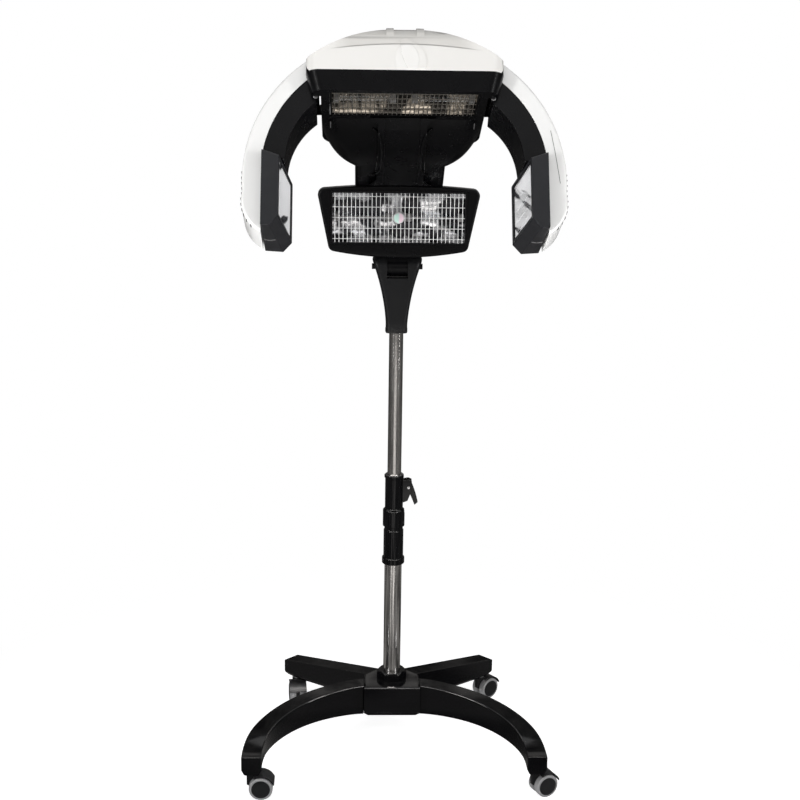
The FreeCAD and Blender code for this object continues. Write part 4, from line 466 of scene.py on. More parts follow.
def from_faces(name, points, faces, place=Matrix(), smooth=32):
    """A mesh from its own points in millimetres, put in place, with its faces turned outward."""
    shape = bmesh.new()
    corners = [shape.verts.new(Vector(point) * MM) for point in points]
    for face in faces:
        shape.faces.new([corners[index] for index in face])
    bmesh.ops.remove_doubles(shape, verts=shape.verts, dist=0.001 * MM)
    bmesh.ops.recalc_face_normals(shape, faces=shape.faces)
    mesh = drawn(name, shape)
    mesh.transform(place)
    return smoothed(mesh, smooth)


def joined(name, meshes):
    """Several meshes as one."""
    shape = bmesh.new()
    for part in meshes:
        shape.from_mesh(part)
        bpy.data.meshes.remove(part)
    return drawn(name, shape)


def circle(radius, sides):
    """Points round a circle about the origin."""
    turns = [2 * math.pi * step / sides for step in range(sides)]
    return [(radius * math.cos(turn), radius * math.sin(turn)) for turn in turns]


def bands(rows):
    """The faces between rows of points that run round a shape."""
    faces = []
    for row, following in zip(rows, rows[1:]):
        for step in range(len(row)):
            after = (step + 1) % len(row)
            face = list(dict.fromkeys([row[step], row[after], following[after], following[step]]))
            if len(face) > 2:
                faces.append(face)
    return faces


def lathe(name, profile, place, sides=48):
    """A closed turned shape about Z from (radius, height) points that run round its section."""
    points, rows = [], []
    for radius, height in profile:
        if radius < 1e-6:
            rows.append([len(points)] * sides)
            points.append((0, 0, height))
            continue
        rows.append(list(range(len(points), len(points) + sides)))
        points += [(x, y, height) for x, y in circle(radius, sides)]
    return from_faces(name, points, bands(rows + rows[:1]), place, 40)


def box_mesh(name, low, high, place):
    """A block between two corners."""
    (x0, y0, z0), (x1, y1, z1) = low, high
    points = [(x, y, z) for x in (x0, x1) for y in (y0, y1) for z in (z0, z1)]
    faces = [(0, 1, 3, 2), (4, 6, 7, 5), (0, 4, 5, 1), (2, 3, 7, 6), (0, 2, 6, 4), (1, 5, 7, 3)]
    return from_faces(name, points, faces, place)


def finished(name, mesh, on, finish, nodes=()):
    """A piece at the origin: it rides with the node it sits on, and it may stand for nodes."""
    mesh.name = name
    piece = bpy.data.objects.new(name, mesh)
    scene.collection.objects.link(piece)
    if not mesh.materials:
        mesh.materials.append(FINISHES[finish])
    if nodes:
        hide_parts(*nodes)
    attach(piece, BODY_OF[on])
    return piece


def roomy_edges(mesh, width):
    """Weight for the bevel on the sharp edges that have room for it; the others stay as they are."""
    shape = bmesh.new()
    shape.from_mesh(mesh)
    weight = shape.edges.layers.float.new("bevel_weight_edge")
    for edge in shape.edges:
        if len(edge.link_faces) == 2 and edge.calc_face_angle(0) > SHARP_ANGLE:
            near = [other.calc_length() for end in edge.verts for other in end.link_edges]
            edge[weight] = 1.0 if min(near) > BEVEL_ROOM * width else 0.0
    shape.to_mesh(mesh)
    shape.free()


def round_edges(piece, width, segments=2):
    """A live bevel on a piece's sharp edges, in millimetres."""
    roomy_edges(piece.data, width * MM)
    edge = piece.modifiers.new("edge", "BEVEL")
    edge.width = width * MM
    edge.segments = segments
    edge.limit_method = "WEIGHT"
    edge.harden_normals = True


def dress(node, bevel, finish="", segments=2):
    """A CAD node's own shape with rounded edges and its finish."""
    mesh = smoothed(welded(node), 60 if bevel else 30)
    piece = finished(node + "_skin", mesh, node, finish or SLOT_OF[node], (node,))
    if bevel:
        round_edges(piece, bevel, segments)
    return piece


# ---- geometry trees
def end_tree(wiring, parts, material, leave):
    """The tree whose parts are joined, made real and given their material."""
    gathered = wiring.add("GeometryNodeJoinGeometry")
    for part in parts:
        wiring.tree.links.new(part, gathered.inputs[0])
    real = wiring.add("GeometryNodeRealizeInstances", {"Geometry": gathered.outputs[0]})
    smooth = wiring.add("GeometryNodeSetShadeSmooth", {"Geometry": real.outputs[0]})
    coloured = wiring.add("GeometryNodeSetMaterial", {"Geometry": smooth.outputs[0], "Material": material})
    wiring.feed(leave["Geometry"], coloured.outputs[0])
    return wiring.tree


def swept(wiring, path, radius, sides):
    """A closed round wire along a curve."""
    ring = wiring.add("GeometryNodeCurvePrimitiveCircle", {"Resolution": sides, "Radius": radius})
    return wiring.add("GeometryNodeCurveToMesh", {"Curve": path, "Profile Curve": ring.outputs[0],
                                                  "Fill Caps": True}).outputs[0]


def round_wire(wiring, start, end, radius, sides=8):
    """A straight closed wire between two points."""
    line = wiring.add("GeometryNodeCurvePrimitiveLine", {"Start": start, "End": end})
    return swept(wiring, line.outputs[0], radius, sides)


def instances(wiring, points, shape, **rest):
    """A shape at each of the points."""
    copies = {"Points": points, "Instance": shape, **rest}
    return wiring.add("GeometryNodeInstanceOnPoints", copies).outputs[0]


def grille_tree():
    """Upright wires with cross wires behind them; wires that meet the gap in the middle stop at it."""
    wiring, entry, leave = node_tree("grille_wires", "Geometry", Length=0.27, Height=0.1, Pitch=0.0084,
                                     Wire_Radius=0.0007, Cross_Count=5, Cross_Share=0.84, Gap=0.0,
                                     Material="")
    radius, gap, behind = entry["Wire Radius"], entry["Gap"], wiring.times(entry["Wire Radius"], -2.0)
    uprights = wiring.calc("FLOOR", wiring.ratio(entry["Length"], entry["Pitch"]))
    cross_pitch = wiring.ratio(wiring.times(entry["Height"], entry["Cross Share"]),
                               wiring.minus(entry["Cross Count"], 1.0))
    parts = []
    for across, along, count, pitch, reach, depth in (
            ("x", "y", uprights, entry["Pitch"], wiring.times(entry["Height"], 0.5), 0.0),
            ("y", "x", entry["Cross Count"], cross_pitch, wiring.times(entry["Length"], 0.5), behind)):
        first = wiring.times(wiring.times(wiring.minus(count, 1.0), pitch), -0.5)
        points = wiring.add("GeometryNodeMeshLine", {
            "Count": count, "Start Location": wiring.vector(**{across: first, "z": depth}),
            "Offset": wiring.vector(**{across: pitch})}).outputs[0]
        place = wiring.axis(wiring.add("GeometryNodeInputPosition").outputs[0], across.upper())
        met = wiring.calc("LESS_THAN", wiring.calc("ABSOLUTE", place), gap)
        parted = wiring.add("GeometryNodeSeparateGeometry", {"Geometry": points, "Selection": met}).outputs
        low, high = (wiring.vector(**{along: wiring.times(reach, sign)}) for sign in (-1.0, 1.0))
        under, over = (wiring.vector(**{along: wiring.times(gap, sign)}) for sign in (-1.0, 1.0))
        for those, start, end in (("Inverted", low, high), ("Selection", under, low),
                                  ("Selection", over, high)):
            parts.append(instances(wiring, parted[those], round_wire(wiring, start, end, radius)))
    return end_tree(wiring, parts, entry["Material"], leave)


def filament_tree():
    """A coil along X with a straight lead at each end."""
    wiring, entry, leave = node_tree("lamp_filament", "Geometry", Length=0.1, Coil_Radius=0.0016,
                                     Wire_Radius=0.00022, Turns=34.0, Lead=0.006, Material="")
    radius, coil_radius = entry["Wire Radius"], entry["Coil Radius"]
    coil_length = wiring.minus(entry["Length"], wiring.times(entry["Lead"], 2.0))
    coil = wiring.add("GeometryNodeCurveSpiral", {
        "Resolution": 10, "Rotations": entry["Turns"], "Start Radius": coil_radius,
        "End Radius": coil_radius, "Height": coil_length}).outputs[0]
    parts = [wiring.add("GeometryNodeTransform", {
        "Geometry": swept(wiring, coil, radius, 4), "Rotation": (0.0, math.pi / 2, 0.0),
        "Translation": wiring.vector(x=wiring.times(coil_length, -0.5))}).outputs[0]]
    for sign in (-0.5, 0.5):
        near_end = wiring.vector(x=wiring.times(coil_length, sign))
        far_end = wiring.vector(x=wiring.times(entry["Length"], sign))
        parts.append(round_wire(wiring, near_end, far_end, radius, 4))
    return end_tree(wiring, parts, entry["Material"], leave)


def ticks_tree():
    """Short marks in an arc round a dial, in the XY plane."""
    wiring, entry, leave = node_tree("dial_ticks", "Geometry", Count=13, Radius=0.02, Length=0.003,
                                     Width=0.0007, Sweep=4.7, Material="")
    points = wiring.add("GeometryNodeMeshLine", {"Count": entry["Count"], "Offset": (0.0, 0.0, 0.0)})
    index = wiring.add("GeometryNodeInputIndex").outputs[0]
    share = wiring.ratio(index, wiring.minus(entry["Count"], 1.0))
    angle = wiring.times(wiring.minus(share, 0.5), entry["Sweep"])
    x, y = (wiring.times(wiring.calc(part, angle), entry["Radius"]) for part in ("SINE", "COSINE"))
    ring = wiring.add("GeometryNodeSetPosition", {"Geometry": points.outputs[0],
                                                  "Position": wiring.vector(x, y)}).outputs[0]
    size = wiring.vector(entry["Width"], entry["Length"], MARK_THICKNESS * MM)
    mark = wiring.add("GeometryNodeMeshCube", {"Size": size}).outputs[0]
    marks = instances(wiring, ring, mark, Rotation=wiring.vector(z=wiring.times(angle, -1.0)))
    return end_tree(wiring, [marks], entry["Material"], leave)


def grown(name, tree, place, finish, **inputs):
    """The plain mesh that a geometry tree makes from its inputs, in place."""
    holder = bpy.data.objects.new(name, bpy.data.meshes.new(name))
    scene.collection.objects.link(holder)
    build = holder.modifiers.new("build", "NODES")
    build.node_group = tree
    inputs["material"] = FINISHES[finish]
    for socket in tree.interface.items_tree:
        key = socket.name.lower().replace(" ", "_")
        if socket.item_type == "SOCKET" and socket.in_out == "INPUT" and key in inputs:
            build[socket.identifier] = inputs[key]
    graph = bpy.context.evaluated_depsgraph_get()
    mesh = bpy.data.meshes.new_from_object(holder.evaluated_get(graph))
    bpy.data.objects.remove(holder)
    mesh.transform(place)
    return mesh


# ---- lamp modules
CRADLE_TIP, BOX_TOE = math.radians(27), math.radians(7.4)
CRADLE_TURN = Matrix.Rotation(-CRADLE_TIP, 3, "X")
LONG_OPENING, SHORT_OPENING, OPENING_HEIGHT = 278.0, 138.0, 108.0
WIRE_PITCH, WIRE_RADIUS, CROSS_WIRES, CROSS_SHARE = 8.4, 0.75, 5, 0.84
RIM_WIDTH, RIM_DEPTH, RIM_RECESS = 3.4, 3.2, 1.0
SEAT_GAP, WIRE_GAP, WIRE_OVERLAP = 0.3, 0.1, 1.0
LAMP_RADIUS, LAMP_WALL, LAMP_DEPTH, LAMP_GAP, LAMP_CLEARANCE, TUBE_END = 5.0, 0.9, 13.0, 30.0, 3.0, 1.0
CAP_WIDTH, CAP_LENGTH, CAP_BACK = 15.0, 11.0, 24.2
COIL_END, COIL_TURNS_PER_MM = 8.0, 0.36
SENSOR_RADIUS, RING_BACK, STEM_RADIUS, STEM_FRONT, STEM_BORE = 11.5, 5.0, 5.75, 7.0, 4.5
LENS_RADIUS, LENS_RISE, LENS_SAG, LENS_BACK, LENS_GAP = 9.6, 1.3, 1.7, 3.0, 0.4
MIRRORS = {"nape": "nape_mirror", "hood": "hood_mirror"}
# The nape grille takes the lit copy of the wire and the hood grille the shaded copy: painted highlight and painted
# shade.
WIRES = {"nape": "bright_wire", "hood": "dull_wire"}


def module_place(name):
    """The middle of a lamp opening: +X along it, +Y up it and +Z out of it."""
    along, outward = Vector((1, 0, 0)), Vector((0, -1, 0))
    if name == "hood":
        outward = CRADLE_TURN @ Vector((0, 0, -1))
    elif name != "nape":
        turn = (1 if name == "right" else -1) * (BOX_TOE - math.pi / 2)
        along = CRADLE_TURN @ Vector((math.cos(turn), math.sin(turn), 0))
        outward = CRADLE_TURN @ Vector((math.sin(turn), -math.cos(turn), 0))
    face = middle(name + "_grille") + outward * (RIM_RECESS + RIM_DEPTH / 2) * MM
    turned = Matrix((along, outward.cross(along), outward)).transposed().to_4x4()
    return Matrix.Translation(face) @ turned


def grille_rim(name, length, place):
    """The flat frame that holds the ends of the wires."""
    half_length, half_height = length / 2 - SEAT_GAP, OPENING_HEIGHT / 2 - SEAT_GAP
    front, back = -RIM_RECESS, -RIM_RECESS - RIM_DEPTH
    points, rows = [], []
    for inset, depth in ((0, front), (0, back), (RIM_WIDTH, back), (RIM_WIDTH, front)):
        rows.append(list(range(len(points), len(points) + 4)))
        points += [(x * (half_length - inset), y * (half_height - inset), depth)
                   for x, y in ((-1, -1), (1, -1), (1, 1), (-1, 1))]
    return from_faces(name, points, bands(rows + rows[:1]), place)


def add_module(name, trees):
    """Grille, reflector and lamps of one opening."""
    place, on, lamps = module_place(name), name + "_grille", name + "_lamps"
    length = LONG_OPENING if name in ("nape", "hood") else SHORT_OPENING
    wires = grown(name + "_wires", trees["grille"],
                  place @ Matrix.Translation((0, 0, -(RIM_RECESS + WIRE_GAP + WIRE_RADIUS) * MM)),
                  WIRES.get(name, "side_mirror"), length=(length - 2 * RIM_WIDTH) * MM,
                  height=(OPENING_HEIGHT - 2 * RIM_WIDTH + 2 * WIRE_OVERLAP) * MM, pitch=WIRE_PITCH * MM,
                  wire_radius=WIRE_RADIUS * MM, cross_count=CROSS_WIRES, cross_share=CROSS_SHARE,
                  gap=(SENSOR_RADIUS + SEAT_GAP) * MM if name == "nape" else 0.0)
    rim = grille_rim(name + "_rim", length, place)
    finished(name + "_wires", wires, on, "", (on,))
    round_edges(finished(name + "_rim", rim, on, "dark_pin"), 0.5)
    dress(name + "_reflector", 0, MIRRORS.get(name, "side_mirror"))
    reach = length / 2 - RIM_WIDTH - LAMP_CLEARANCE
    spans = [(-reach, reach)]
    if length == LONG_OPENING:
        spans = [(-reach, -LAMP_GAP / 2), (LAMP_GAP / 2, reach)]
    inner = LAMP_RADIUS - LAMP_WALL
    tubes, caps, coils = [], [], []
    for start, end in spans:
        seat = place @ Matrix.Translation((start * MM, 0, -LAMP_DEPTH * MM))
        far = end - start - TUBE_END
        tubes.append(lathe("tube", [(LAMP_RADIUS, TUBE_END), (LAMP_RADIUS, far), (inner, far),
                                    (inner, TUBE_END)], seat @ Matrix.Rotation(math.pi / 2, 4, "Y"), 32))
        for cap in (start, end - CAP_LENGTH):
            caps.append(box_mesh("cap", (cap, -CAP_WIDTH / 2, -CAP_BACK),
                                 (cap + CAP_LENGTH, CAP_WIDTH / 2, CAP_WIDTH / 2 - LAMP_DEPTH), place))
        centre = place @ Matrix.Translation(((start + end) / 2 * MM, 0, -LAMP_DEPTH * MM))
        coils.append(grown("coil", trees["filament"], centre, "filament",
                           length=(end - start - 2 * COIL_END) * MM, turns=(end - start) * COIL_TURNS_PER_MM))
    finished(name + "_tubes", joined("tubes", tubes), lamps, "quartz", (lamps,))
    round_edges(finished(name + "_caps", joined("caps", caps), on, "ceramic"), 1.0)
    finished(name + "_filaments", joined("coils", coils), on, "filament")


def add_sensor():
    """The temperature sensor's coated lens in its ring."""
    place, on = module_place("nape"), "temperature_sensor"
    arc = [step * math.pi / 18 for step in range(10)]
    dome = [(LENS_RADIUS * math.sin(turn), LENS_RISE - LENS_SAG * (1 - math.cos(turn))) for turn in arc]
    lens = lathe("sensor_lens_dome", dome + [(LENS_RADIUS, -LENS_BACK), (0, -LENS_BACK)], place)
    finished("sensor_lens_dome", lens, on, "sensor_lens", (on,))
    seat = -LENS_BACK - LENS_GAP
    section = [(LENS_RADIUS, -0.5), (LENS_RADIUS + 0.5, 0.0), (SENSOR_RADIUS - 0.7, -0.1),
               (SENSOR_RADIUS, -1.1), (SENSOR_RADIUS, -RING_BACK), (STEM_RADIUS, -STEM_FRONT),
               (STEM_RADIUS, -CAP_BACK), (STEM_BORE, -CAP_BACK), (STEM_BORE, seat), (LENS_RADIUS, seat)]
    # The ring takes the lit copy of the wire, whose near-white colour is a painted highlight.
    finished("sensor_ring", lathe("sensor_ring", section, place), on, "bright_wire")


# ---- small fittings
FROM_FRONT, FROM_BACK = Vector((0, 1, 0)), Vector((0, -1, 0))
MAST_LINE = MAST.x / MM
SEARCH_TREES = {}
BEAD_SIDES = 8
TRUNK = ("column_cover", "lower_cowl")
# Distances to one side of the mast's line, and heights.
RAIL = ((57, 1384), (49, 1377), (43, 1366), (40, 1352), (39, 1325), (40, 1303), (45, 1291), (55, 1283))
TRUNK_SLOT, TRUNK_SCREW = ((47, 1324), (47.5, 1308), (48.5, 1294)), (48.5, 1290)
COWL_CLIP = ((138, 1395), (138, 1389), (138, 1383))
ARM_SEAM, ARM_BOLT = ((269.5, 1392), (277.5, 1350), (285, 1300)), (165, 1447)
BOX_LIP = ((258, 1190), (248, 1188), (238, 1190))
REAR_SCREWS = (("nape_shell", (105, 1222)), ("nape_shell", (95, 1160)), ("lower_cowl", (95, 1390)),
               ("hood_cap", (110, 1440)))
# Places in the frame: across and up, and for the vents back and up.
COLUMN_ARC, COWL_PLUG = ((-42, 1313), (-38, 1302), (-30, 1295), (-22, 1292)), (84, 1348.7)
VENT_COUNT, VENT_ENDS, VENT_PITCH = 11, ((-315, 1224), (-304, 1218)), (4.6, 9)
RAIL_BEAD, SEAM_BEAD, SLOT_BEAD, CLIP_BEAD, ARC_BEAD, VENT_BEAD, LIP_BEAD = 2.4, 0.4, 0.7, 1.3, 0.6, 0.9, 1.3
TRUNK_HEAD, PLUG_HEAD, BOLT_HEAD, REAR_HEAD, HEAD_SINK = 1.6, 3.4, 4.6, 3.2, 0.5
HEAD_SHAPE = ((1, 0), (0.92, 0.22), (0.62, 0.36), (0.46, 0.36), (0.44, 0.05), (0, 0.05))
MARK_COUNT, MARK_RADIUS, MARK_LENGTH, MARK_WIDTH, MARK_THICKNESS, MARK_SWEEP = 13, 20.5, 3.0, 0.8, 0.35, 4.7
MARK_LIFT, GRIP_FROM_END = 0.1, 7.5
GRIP_COUNT, GRIP_RADIUS, GRIP_LENGTH, GRIP_WIDTH, GRIP_DEPTH = 25, 11.2, 1.4, 1.1, 7.0


def on_surface(nodes, spot, towards):
    """The first place on any of the nodes that is met from outside, and its normal."""
    met = []
    for node in nodes:
        if node not in SEARCH_TREES:
            mesh = NODES[node].data
            SEARCH_TREES[node] = BVHTree.FromPolygons([vertex.co for vertex in mesh.vertices],
                                                      [tuple(face.vertices) for face in mesh.polygons])
        place, normal, _, reach = SEARCH_TREES[node].ray_cast(Vector(spot) * MM - towards, towards)
        if place is not None:
            met.append((reach, place, normal if normal.dot(towards) < 0 else -normal))
    return min(met, key=lambda entry: entry[0])[1:] if met else (None, None)


def cord(path, radius):
    """A closed round bead along a path in metres."""
    points, rows = [], []
    for index, place in enumerate(path):
        along = (path[min(index + 1, len(path) - 1)] - path[max(index - 1, 0)]).normalized()
        side = along.orthogonal() if abs(along.x) > 0.95 else along.cross(Vector((1, 0, 0)))
        side.normalize()
        other = along.cross(side)
        rows.append(list(range(len(points), len(points) + BEAD_SIDES)))
        points += [place / MM + (side * x + other * y) * radius for x, y in circle(1, BEAD_SIDES)]
    return from_faces("bead", points, bands(rows) + [rows[0], rows[-1]], smooth=50)


def laid_bead(nodes, corners, radius, towards=FROM_FRONT, sink=0.35, steps=5):
    """A bead on the surface of the nodes, through corners that are joined by a smooth line."""
    path = []
    for index in range(len(corners) - 1):
        before, start = Vector(corners[max(index - 1, 0)]), Vector(corners[index])
        end, after = Vector(corners[index + 1]), Vector(corners[min(index + 2, len(corners) - 1)])
        for step in range(steps + (index == len(corners) - 2)):
            t = step / steps
            spot = 0.5 * (2 * start + (end - before) * t + (2 * before - 5 * start + 4 * end - after) * t * t
                          + (3 * start - before - 3 * end + after) * t ** 3)
            place, normal = on_surface(nodes, spot, towards)
            if place is not None:
                path.append(place + normal * radius * (1 - 2 * sink) * MM)
    return cord(path, radius)


def facing(points, side=1, line=MAST_LINE):
    """Places in front of the object from distances to one side of a line and heights."""
    return [(line + side * aside, 0, height) for aside, height in points]


def mirrored_beads(nodes, points, radius, **rest):
    """The same bead on both sides of the mast's line."""
    return [laid_bead(nodes, facing(points, side), radius, **rest) for side in (-1, 1)]


def socket_head(nodes, point, radius, side=1, line=MAST_LINE, towards=FROM_FRONT):
    """A domed screw head with a socket, on the surface of the nodes."""
    place, normal = on_surface(nodes, facing([point], side, line)[0], towards)
    seat = Matrix.Translation(place) @ normal.to_track_quat("Z", "Y").to_matrix().to_4x4()
    outline = [(radius * out, radius * up) for out, up in HEAD_SHAPE]
    return lathe("head", outline + [(0, -HEAD_SINK), (radius, -HEAD_SINK)], seat, 24)


def fit(name, meshes, on, finish):
    """Small parts joined as one piece on a node."""
    finished(name, joined(name, meshes), on, finish)


def add_fittings():
    """Ribs, clips, slots, seams and screw heads on the front and sides of the head."""
    fit("column_rails", mirrored_beads(TRUNK, RAIL, RAIL_BEAD, sink=0.2), "column_cover", "gloss_black_metal")
    seam = laid_bead(("right_arm_cover",), facing(ARM_SEAM), SEAM_BEAD)
    fit("right_seam", [seam], "right_arm_cover", "panel_grey")
    slots = mirrored_beads(TRUNK, TRUNK_SLOT, SLOT_BEAD)
    slots += mirrored_beads(("lower_cowl",), COWL_CLIP, CLIP_BEAD)
    slots += [socket_head(TRUNK, TRUNK_SCREW, TRUNK_HEAD, side) for side in (-1, 1)]
    fit("column_slots", slots, "lower_cowl", "steel")
    marks = [laid_bead(TRUNK, facing(COLUMN_ARC, line=0), ARC_BEAD),
             socket_head(("lower_cowl",), COWL_PLUG, PLUG_HEAD, line=0)]
    fit("column_marks", marks, "column_cover", "gloss_black_metal")
    for side, name in ((-1, "left"), (1, "right")):
        cover, box = name + "_arm_cover", name + "_lamp_box"
        bolt = socket_head((name + "_arm_liner", cover, "hood_frame", "arm_pins"), ARM_BOLT, BOLT_HEAD, side)
        fit(name + "_pivot_head", [bolt], cover, "steel")
        vents = []
        for step in range(VENT_COUNT):
            ends = [(0, y + step * VENT_PITCH[0], z + step * VENT_PITCH[1]) for y, z in VENT_ENDS]
            vents.append(laid_bead((cover,), ends, VENT_BEAD, towards=Vector((-side, 0, 0)), steps=3))
        # The vents are dark beads laid on the cover, not openings: painted shade.
        fit(name + "_vents", vents, cover, "dark_gap")
        fit(name + "_box_lip", [laid_bead((box,), facing(BOX_LIP, side), LIP_BEAD)], box, "steel")


def add_rear_screws():
    """Screws that hold the rear shells."""
    screws = [socket_head((node,), point, REAR_HEAD, side, towards=FROM_BACK)
              for side in (-1, 1) for node, point in REAR_SCREWS]
    fit("rear_screws", screws, "lower_cowl", "steel")


def add_panel_marks():
    """Marks round the timer's dial and grips on its knob."""
    ticks = ticks_tree()
    panel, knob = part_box("control_panel"), middle("timer_knob")
    quarter, half = Matrix.Rotation(-math.pi / 2, 4, "X"), Matrix.Rotation(math.pi, 4, "Z")
    back = Matrix.Translation((knob.x, panel[1][1] + MARK_LIFT * MM, knob.z)) @ quarter @ half
    marks = grown("dial_marks", ticks, back, "pale_print", count=MARK_COUNT, radius=MARK_RADIUS * MM,
                  length=MARK_LENGTH * MM, width=MARK_WIDTH * MM, sweep=MARK_SWEEP)
    finished("dial_marks", marks, "control_panel", "pale_print")
    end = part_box("timer_knob")[1][1]
    rim = Matrix.Translation((knob.x, end - GRIP_FROM_END * MM, knob.z)) @ quarter
    grips = grown("knob_grips", ticks, rim, "black_mould", count=GRIP_COUNT, radius=GRIP_RADIUS * MM,
                  length=GRIP_LENGTH * MM, width=GRIP_WIDTH * MM,
                  sweep=2 * math.pi * (GRIP_COUNT - 1) / GRIP_COUNT)
    deeper = Matrix.Diagonal((1, 1, GRIP_DEPTH / MARK_THICKNESS, 1))
    grips.transform(rim @ deeper @ rim.inverted())
    finished("knob_grips", grips, "timer_knob", "black_mould")


# ---- shells and stand
WHEEL_CAP_RADIUS, WHEEL_CAP_SIDE = 19.8, 15.0


def add_shells():
    """The moulded shells, arms, lamp boxes and controls."""
    dress("hood_cap", 1.6, "pearl_shell", 3)
    dress("hood_frame", 1.2)
    dress("lower_cowl", 1.5, segments=3)
    dress("column_cover", 2.2, segments=4)
    for node in ("nape_bezel", "nape_shell"):
        dress(node, 0.7)
    for name in ("left", "right"):
        dress(name + "_arm_cover", 0.7)
        dress(name + "_arm_liner", 1.2)
        dress(name + "_lamp_box", 1.4, "charcoal_box", 3)
    for node, bevel in (("control_panel", 0.4), ("timer_knob", 0.4), ("start_button", 0.3),
                        ("power_switch", 0.5), ("mains_inlet", 0.4)):
        dress(node, bevel)


def darken_caps(wheels, roll):
    """The dark finish on a caster's two wheel caps, which lie round its axle."""
    wheels.data.materials.append(FINISHES["black_mould"])
    centre, axle = Vector(roll["pos_m"]), Vector(roll["axis"]).normalized()
    for face in wheels.data.polygons:
        reach = face.center - centre
        out = reach.dot(axle)
        if (reach - axle * out).length < WHEEL_CAP_RADIUS * MM and abs(out) > WHEEL_CAP_SIDE * MM:
            face.material_index = 1


def add_stand():
    """Base, mast, clamp and tilt joint."""
    joints = {joint["name"]: joint for joint in frame["joints"]}
    dress("base_hub", 2.0, segments=3)
    for name in ("front_left", "front_right", "rear_left", "rear_right"):
        caster = "caster_%s" % name
        dress(name + "_leg", 2.5, segments=3)
        dress(caster + "_housing", 0.5)
        darken_caps(dress(caster + "_wheels", 0.4), joints[caster + "_roll"])
        dress(caster + "_stem", 0)
    for node in ("leg_screws", "mast_nut", "sleeve_ring", "clamp_sleeve", "clamp_pin", "arm_pins"):
        dress(node, 0.4)
    dress("tilt_pin", 0.8, "dark_pin")
    # The lower tube takes the lighter-painted copy of the chrome.
    for node, finish in (("lower_tube", "chrome_foot"), ("upper_tube", ""), ("slide_bush", "")):
        dress(node, 0.3, finish)
    dress("clamp_lever", 0.8, "gloss_black_metal", 3)
    dress("tilt_fork", 0.8)
    dress("tilt_lug", 1.5, "black_shell", 3)


# ---- camera
FRAME_PIXELS, FOCAL_PIXELS, SENSOR_WIDTH = 800, 1532, 36.0
CAMERA_FROM_MAST = Vector((-0.107, -3.175, 1.612))
CAMERA_YAW, CAMERA_PITCH, CAMERA_ROLL = (math.radians(angle) for angle in (2.11, 14.44, 0.84))


def add_camera():
    """A long lens in front of the processor, a little above it and looking down."""
    data = bpy.data.cameras.new("camera")
    data.sensor_width = SENSOR_WIDTH
    data.lens = SENSOR_WIDTH * FOCAL_PIXELS / FRAME_PIXELS
    data.clip_end = 50
    camera = bpy.data.objects.new("camera", data)
    scene.collection.objects.link(camera)
    place = Vector((MAST.x, MAST.y, 0)) + CAMERA_FROM_MAST
    aim = Matrix.Rotation(-CAMERA_YAW, 4, "Z") @ Matrix.Rotation(math.pi / 2 - CAMERA_PITCH, 4, "X")
    camera.matrix_world = Matrix.Translation(place) @ aim @ Matrix.Rotation(CAMERA_ROLL, 4, "Z")
    scene.camera = camera


# ---- studio
ROOM_BAND, ROOM_LIGHT = (-0.3, 0.8), (0.95, 0.14)
CLOTH_RADIUS, CLOTH_TOP, CLOTH_FLOOR = 9.0, 6.6, 7.5
BACK_SCREEN = ((-3.5, 5.0, 1.4), (3.5, 5.0, 1.4), (3.5, 5.0, 3.8), (-3.5, 5.0, 3.8))
FLOOR_CARD = ((-1.5, -3.8, 0.002), (1.1, -3.8, 0.002), (0.25, -0.5, 0.002), (-0.4, -0.5, 0.002))
FRONT_CARD = ((-1.3, -4.4, 1.9), (1.3, -4.4, 1.9), (1.3, -3.9, 2.7), (-1.3, -3.9, 2.7))
SHELF = ((-0.9, -0.4, 0.97), (0.85, -0.4, 0.97), (0.85, -1.0, 0.97), (-0.9, -1.0, 0.97))
FLOOR_RADIUS, FLOOR_GLOW, FLOOR_FADE = 7.0, 0.78, (0.35, 1.15)


def area_light(name, place, target, width, height, power):
    """A rectangular soft box."""
    data = bpy.data.lights.new(name, "AREA")
    data.shape = "RECTANGLE"
    data.size, data.size_y, data.energy = width, height, power
    light = bpy.data.objects.new(name, data)
    light.location = place
    light.rotation_euler = (Vector(target) - Vector(place)).to_track_quat("-Z", "Y").to_euler()
    scene.collection.objects.link(light)


def add_world():
    """White to the eye and to metal and glass, and a softer light on everything else."""
    world = bpy.data.worlds.new("studio")
    scene.world = world
    world.use_nodes = True
    world.node_tree.nodes.clear()
    wiring = Wiring(world.node_tree)
    matt = wiring.add("ShaderNodeLightPath").outputs["Is Diffuse Ray"]
    height = wiring.axis(wiring.add("ShaderNodeTexCoord").outputs["Generated"], "Z")
    room = wiring.spread(height, *ROOM_BAND, *ROOM_LIGHT)
    plain = wiring.add("ShaderNodeBackground", {
        "Color": (1, 1, 1, 1), "Strength": wiring.calc("MAXIMUM", wiring.minus(1.0, matt), room)})
    wiring.add("ShaderNodeOutputWorld", {"Surface": plain.outputs[0]})


def stage_piece(name, shape):
    """An object of the studio, and the wiring of its empty material."""
    mesh = drawn(name, shape)
    piece = bpy.data.objects.new(name, mesh)
    scene.collection.objects.link(piece)
    material = bpy.data.materials.new(name)
    material.use_nodes = True
    material.node_tree.nodes.clear()
    mesh.materials.append(material)
    return piece, Wiring(material.node_tree)


def blended(wiring, share, first, second):
    """The material's output, between two shaders."""
    blend = wiring.add("ShaderNodeMixShader", {0: share, 1: first.outputs[0], 2: second.outputs[0]})
    wiring.add("ShaderNodeOutputMaterial", {"Surface": blend.outputs[0]})


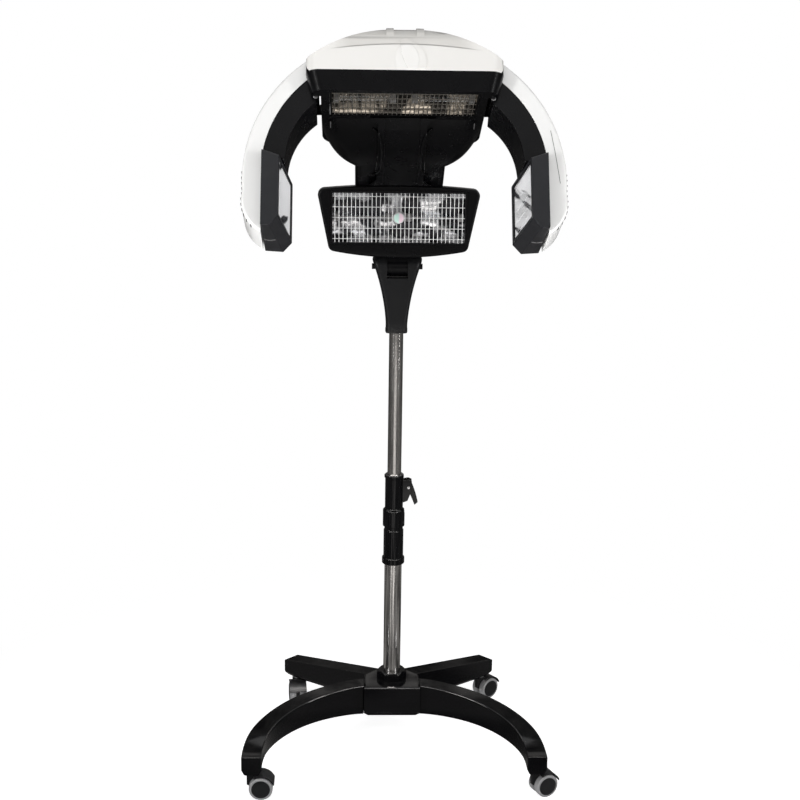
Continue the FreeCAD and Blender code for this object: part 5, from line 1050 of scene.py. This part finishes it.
def mirrored_only(name, shape, strengths, one_sided=False):
    """A card that only shiny faces see; its uneven glow changes from the client's side to the back.

    A one-sided card is clear from behind.
    """
    card, wiring = stage_piece(name, shape)
    for ray in ("camera", "diffuse", "transmission", "shadow", "volume_scatter"):
        setattr(card, "visible_" + ray, False)
    spot = wiring.spot()
    folds = wiring.spread(wiring.noise(spot, 2.4, 1.5), 0.42, 0.6, 0.25, 1.8)
    strength = wiring.times(folds, wiring.spread(wiring.axis(spot, "Y"), -6.0, 5.0, *strengths))
    glow = wiring.add("ShaderNodeEmission", {"Color": (1.0, 0.97, 0.94, 1), "Strength": strength})
    behind = wiring.add("ShaderNodeNewGeometry").outputs["Backfacing"] if one_sided else 0.0
    blended(wiring, behind, glow, wiring.add("ShaderNodeBsdfTransparent"))


def cards(*outlines):
    """Flat cards from their corners."""
    shape = bmesh.new()
    for corners in outlines:
        shape.faces.new([shape.verts.new(corner) for corner in corners])
    return shape


def add_cards():
    """Dark cloth all round but open overhead, a screen behind, cards in front, a shelf over the base."""
    cloth = bmesh.new()
    bmesh.ops.create_uvsphere(cloth, u_segments=48, v_segments=24, radius=CLOTH_RADIUS)
    bmesh.ops.delete(cloth, context="VERTS", geom=[vertex for vertex in cloth.verts
                                                   if vertex.co.z > CLOTH_TOP])
    bmesh.ops.create_circle(cloth, cap_ends=True, segments=48, radius=CLOTH_FLOOR,
                            matrix=Matrix.Translation((0, 0, 0.3 * MM)))
    mirrored_only("dark_cloth", cloth, (0.2, 0.04))
    mirrored_only("back_screen", cards(BACK_SCREEN), (0.3, 0.3))
    mirrored_only("pale_card", cards(FLOOR_CARD, FRONT_CARD), (0.9, 0.6))
    mirrored_only("bright_shelf", cards(SHELF), (30.0, 26.0), one_sided=True)


def add_floor():
    """A pale floor that takes the shadow and fades into the white round it."""
    shape = bmesh.new()
    bmesh.ops.create_circle(shape, cap_ends=True, segments=96, radius=FLOOR_RADIUS)
    wiring = stage_piece("floor", shape)[1]
    matt = wiring.add("ShaderNodeBsdfPrincipled", {
        "Base Color": (0.93, 0.93, 0.93, 1), "Roughness": 0.6, "Emission Color": (1, 1, 1, 1),
        "Emission Strength": FLOOR_GLOW})
    reach = wiring.add("ShaderNodeVectorMath", {0: wiring.spot()}, operation="LENGTH").outputs["Value"]
    seen = wiring.minus(1.0, wiring.add("ShaderNodeLightPath").outputs["Is Diffuse Ray"])
    part = wiring.times(seen, wiring.spread(reach, *FLOOR_FADE))
    blended(wiring, part, matt, wiring.add("ShaderNodeEmission"))


def add_studio():
    """Two tall soft boxes and a weak one overhead, with the world, the cards and the floor."""
    area_light("soft_left", (-2.6, -2.4, 1.5), (0, 0, 1.2), 0.4, 2.2, 50)
    area_light("soft_right", (2.8, -2.1, 1.4), (0, 0, 1.2), 0.35, 2.2, 40)
    area_light("soft_top", (0, -0.8, 3.4), (0, 0, 0.6), 2.0, 1.2, 5)
    add_world()
    add_cards()
    add_floor()


build_finishes()
add_shells()
add_stand()
lamp_trees = {"grille": grille_tree(), "filament": filament_tree()}
for module in ("nape", "hood", "left", "right"):
    add_module(module, lamp_trees)
add_sensor()
add_fittings()
add_rear_screws()
add_panel_marks()
add_camera()
add_studio()
scene.view_settings.view_transform = "Standard"
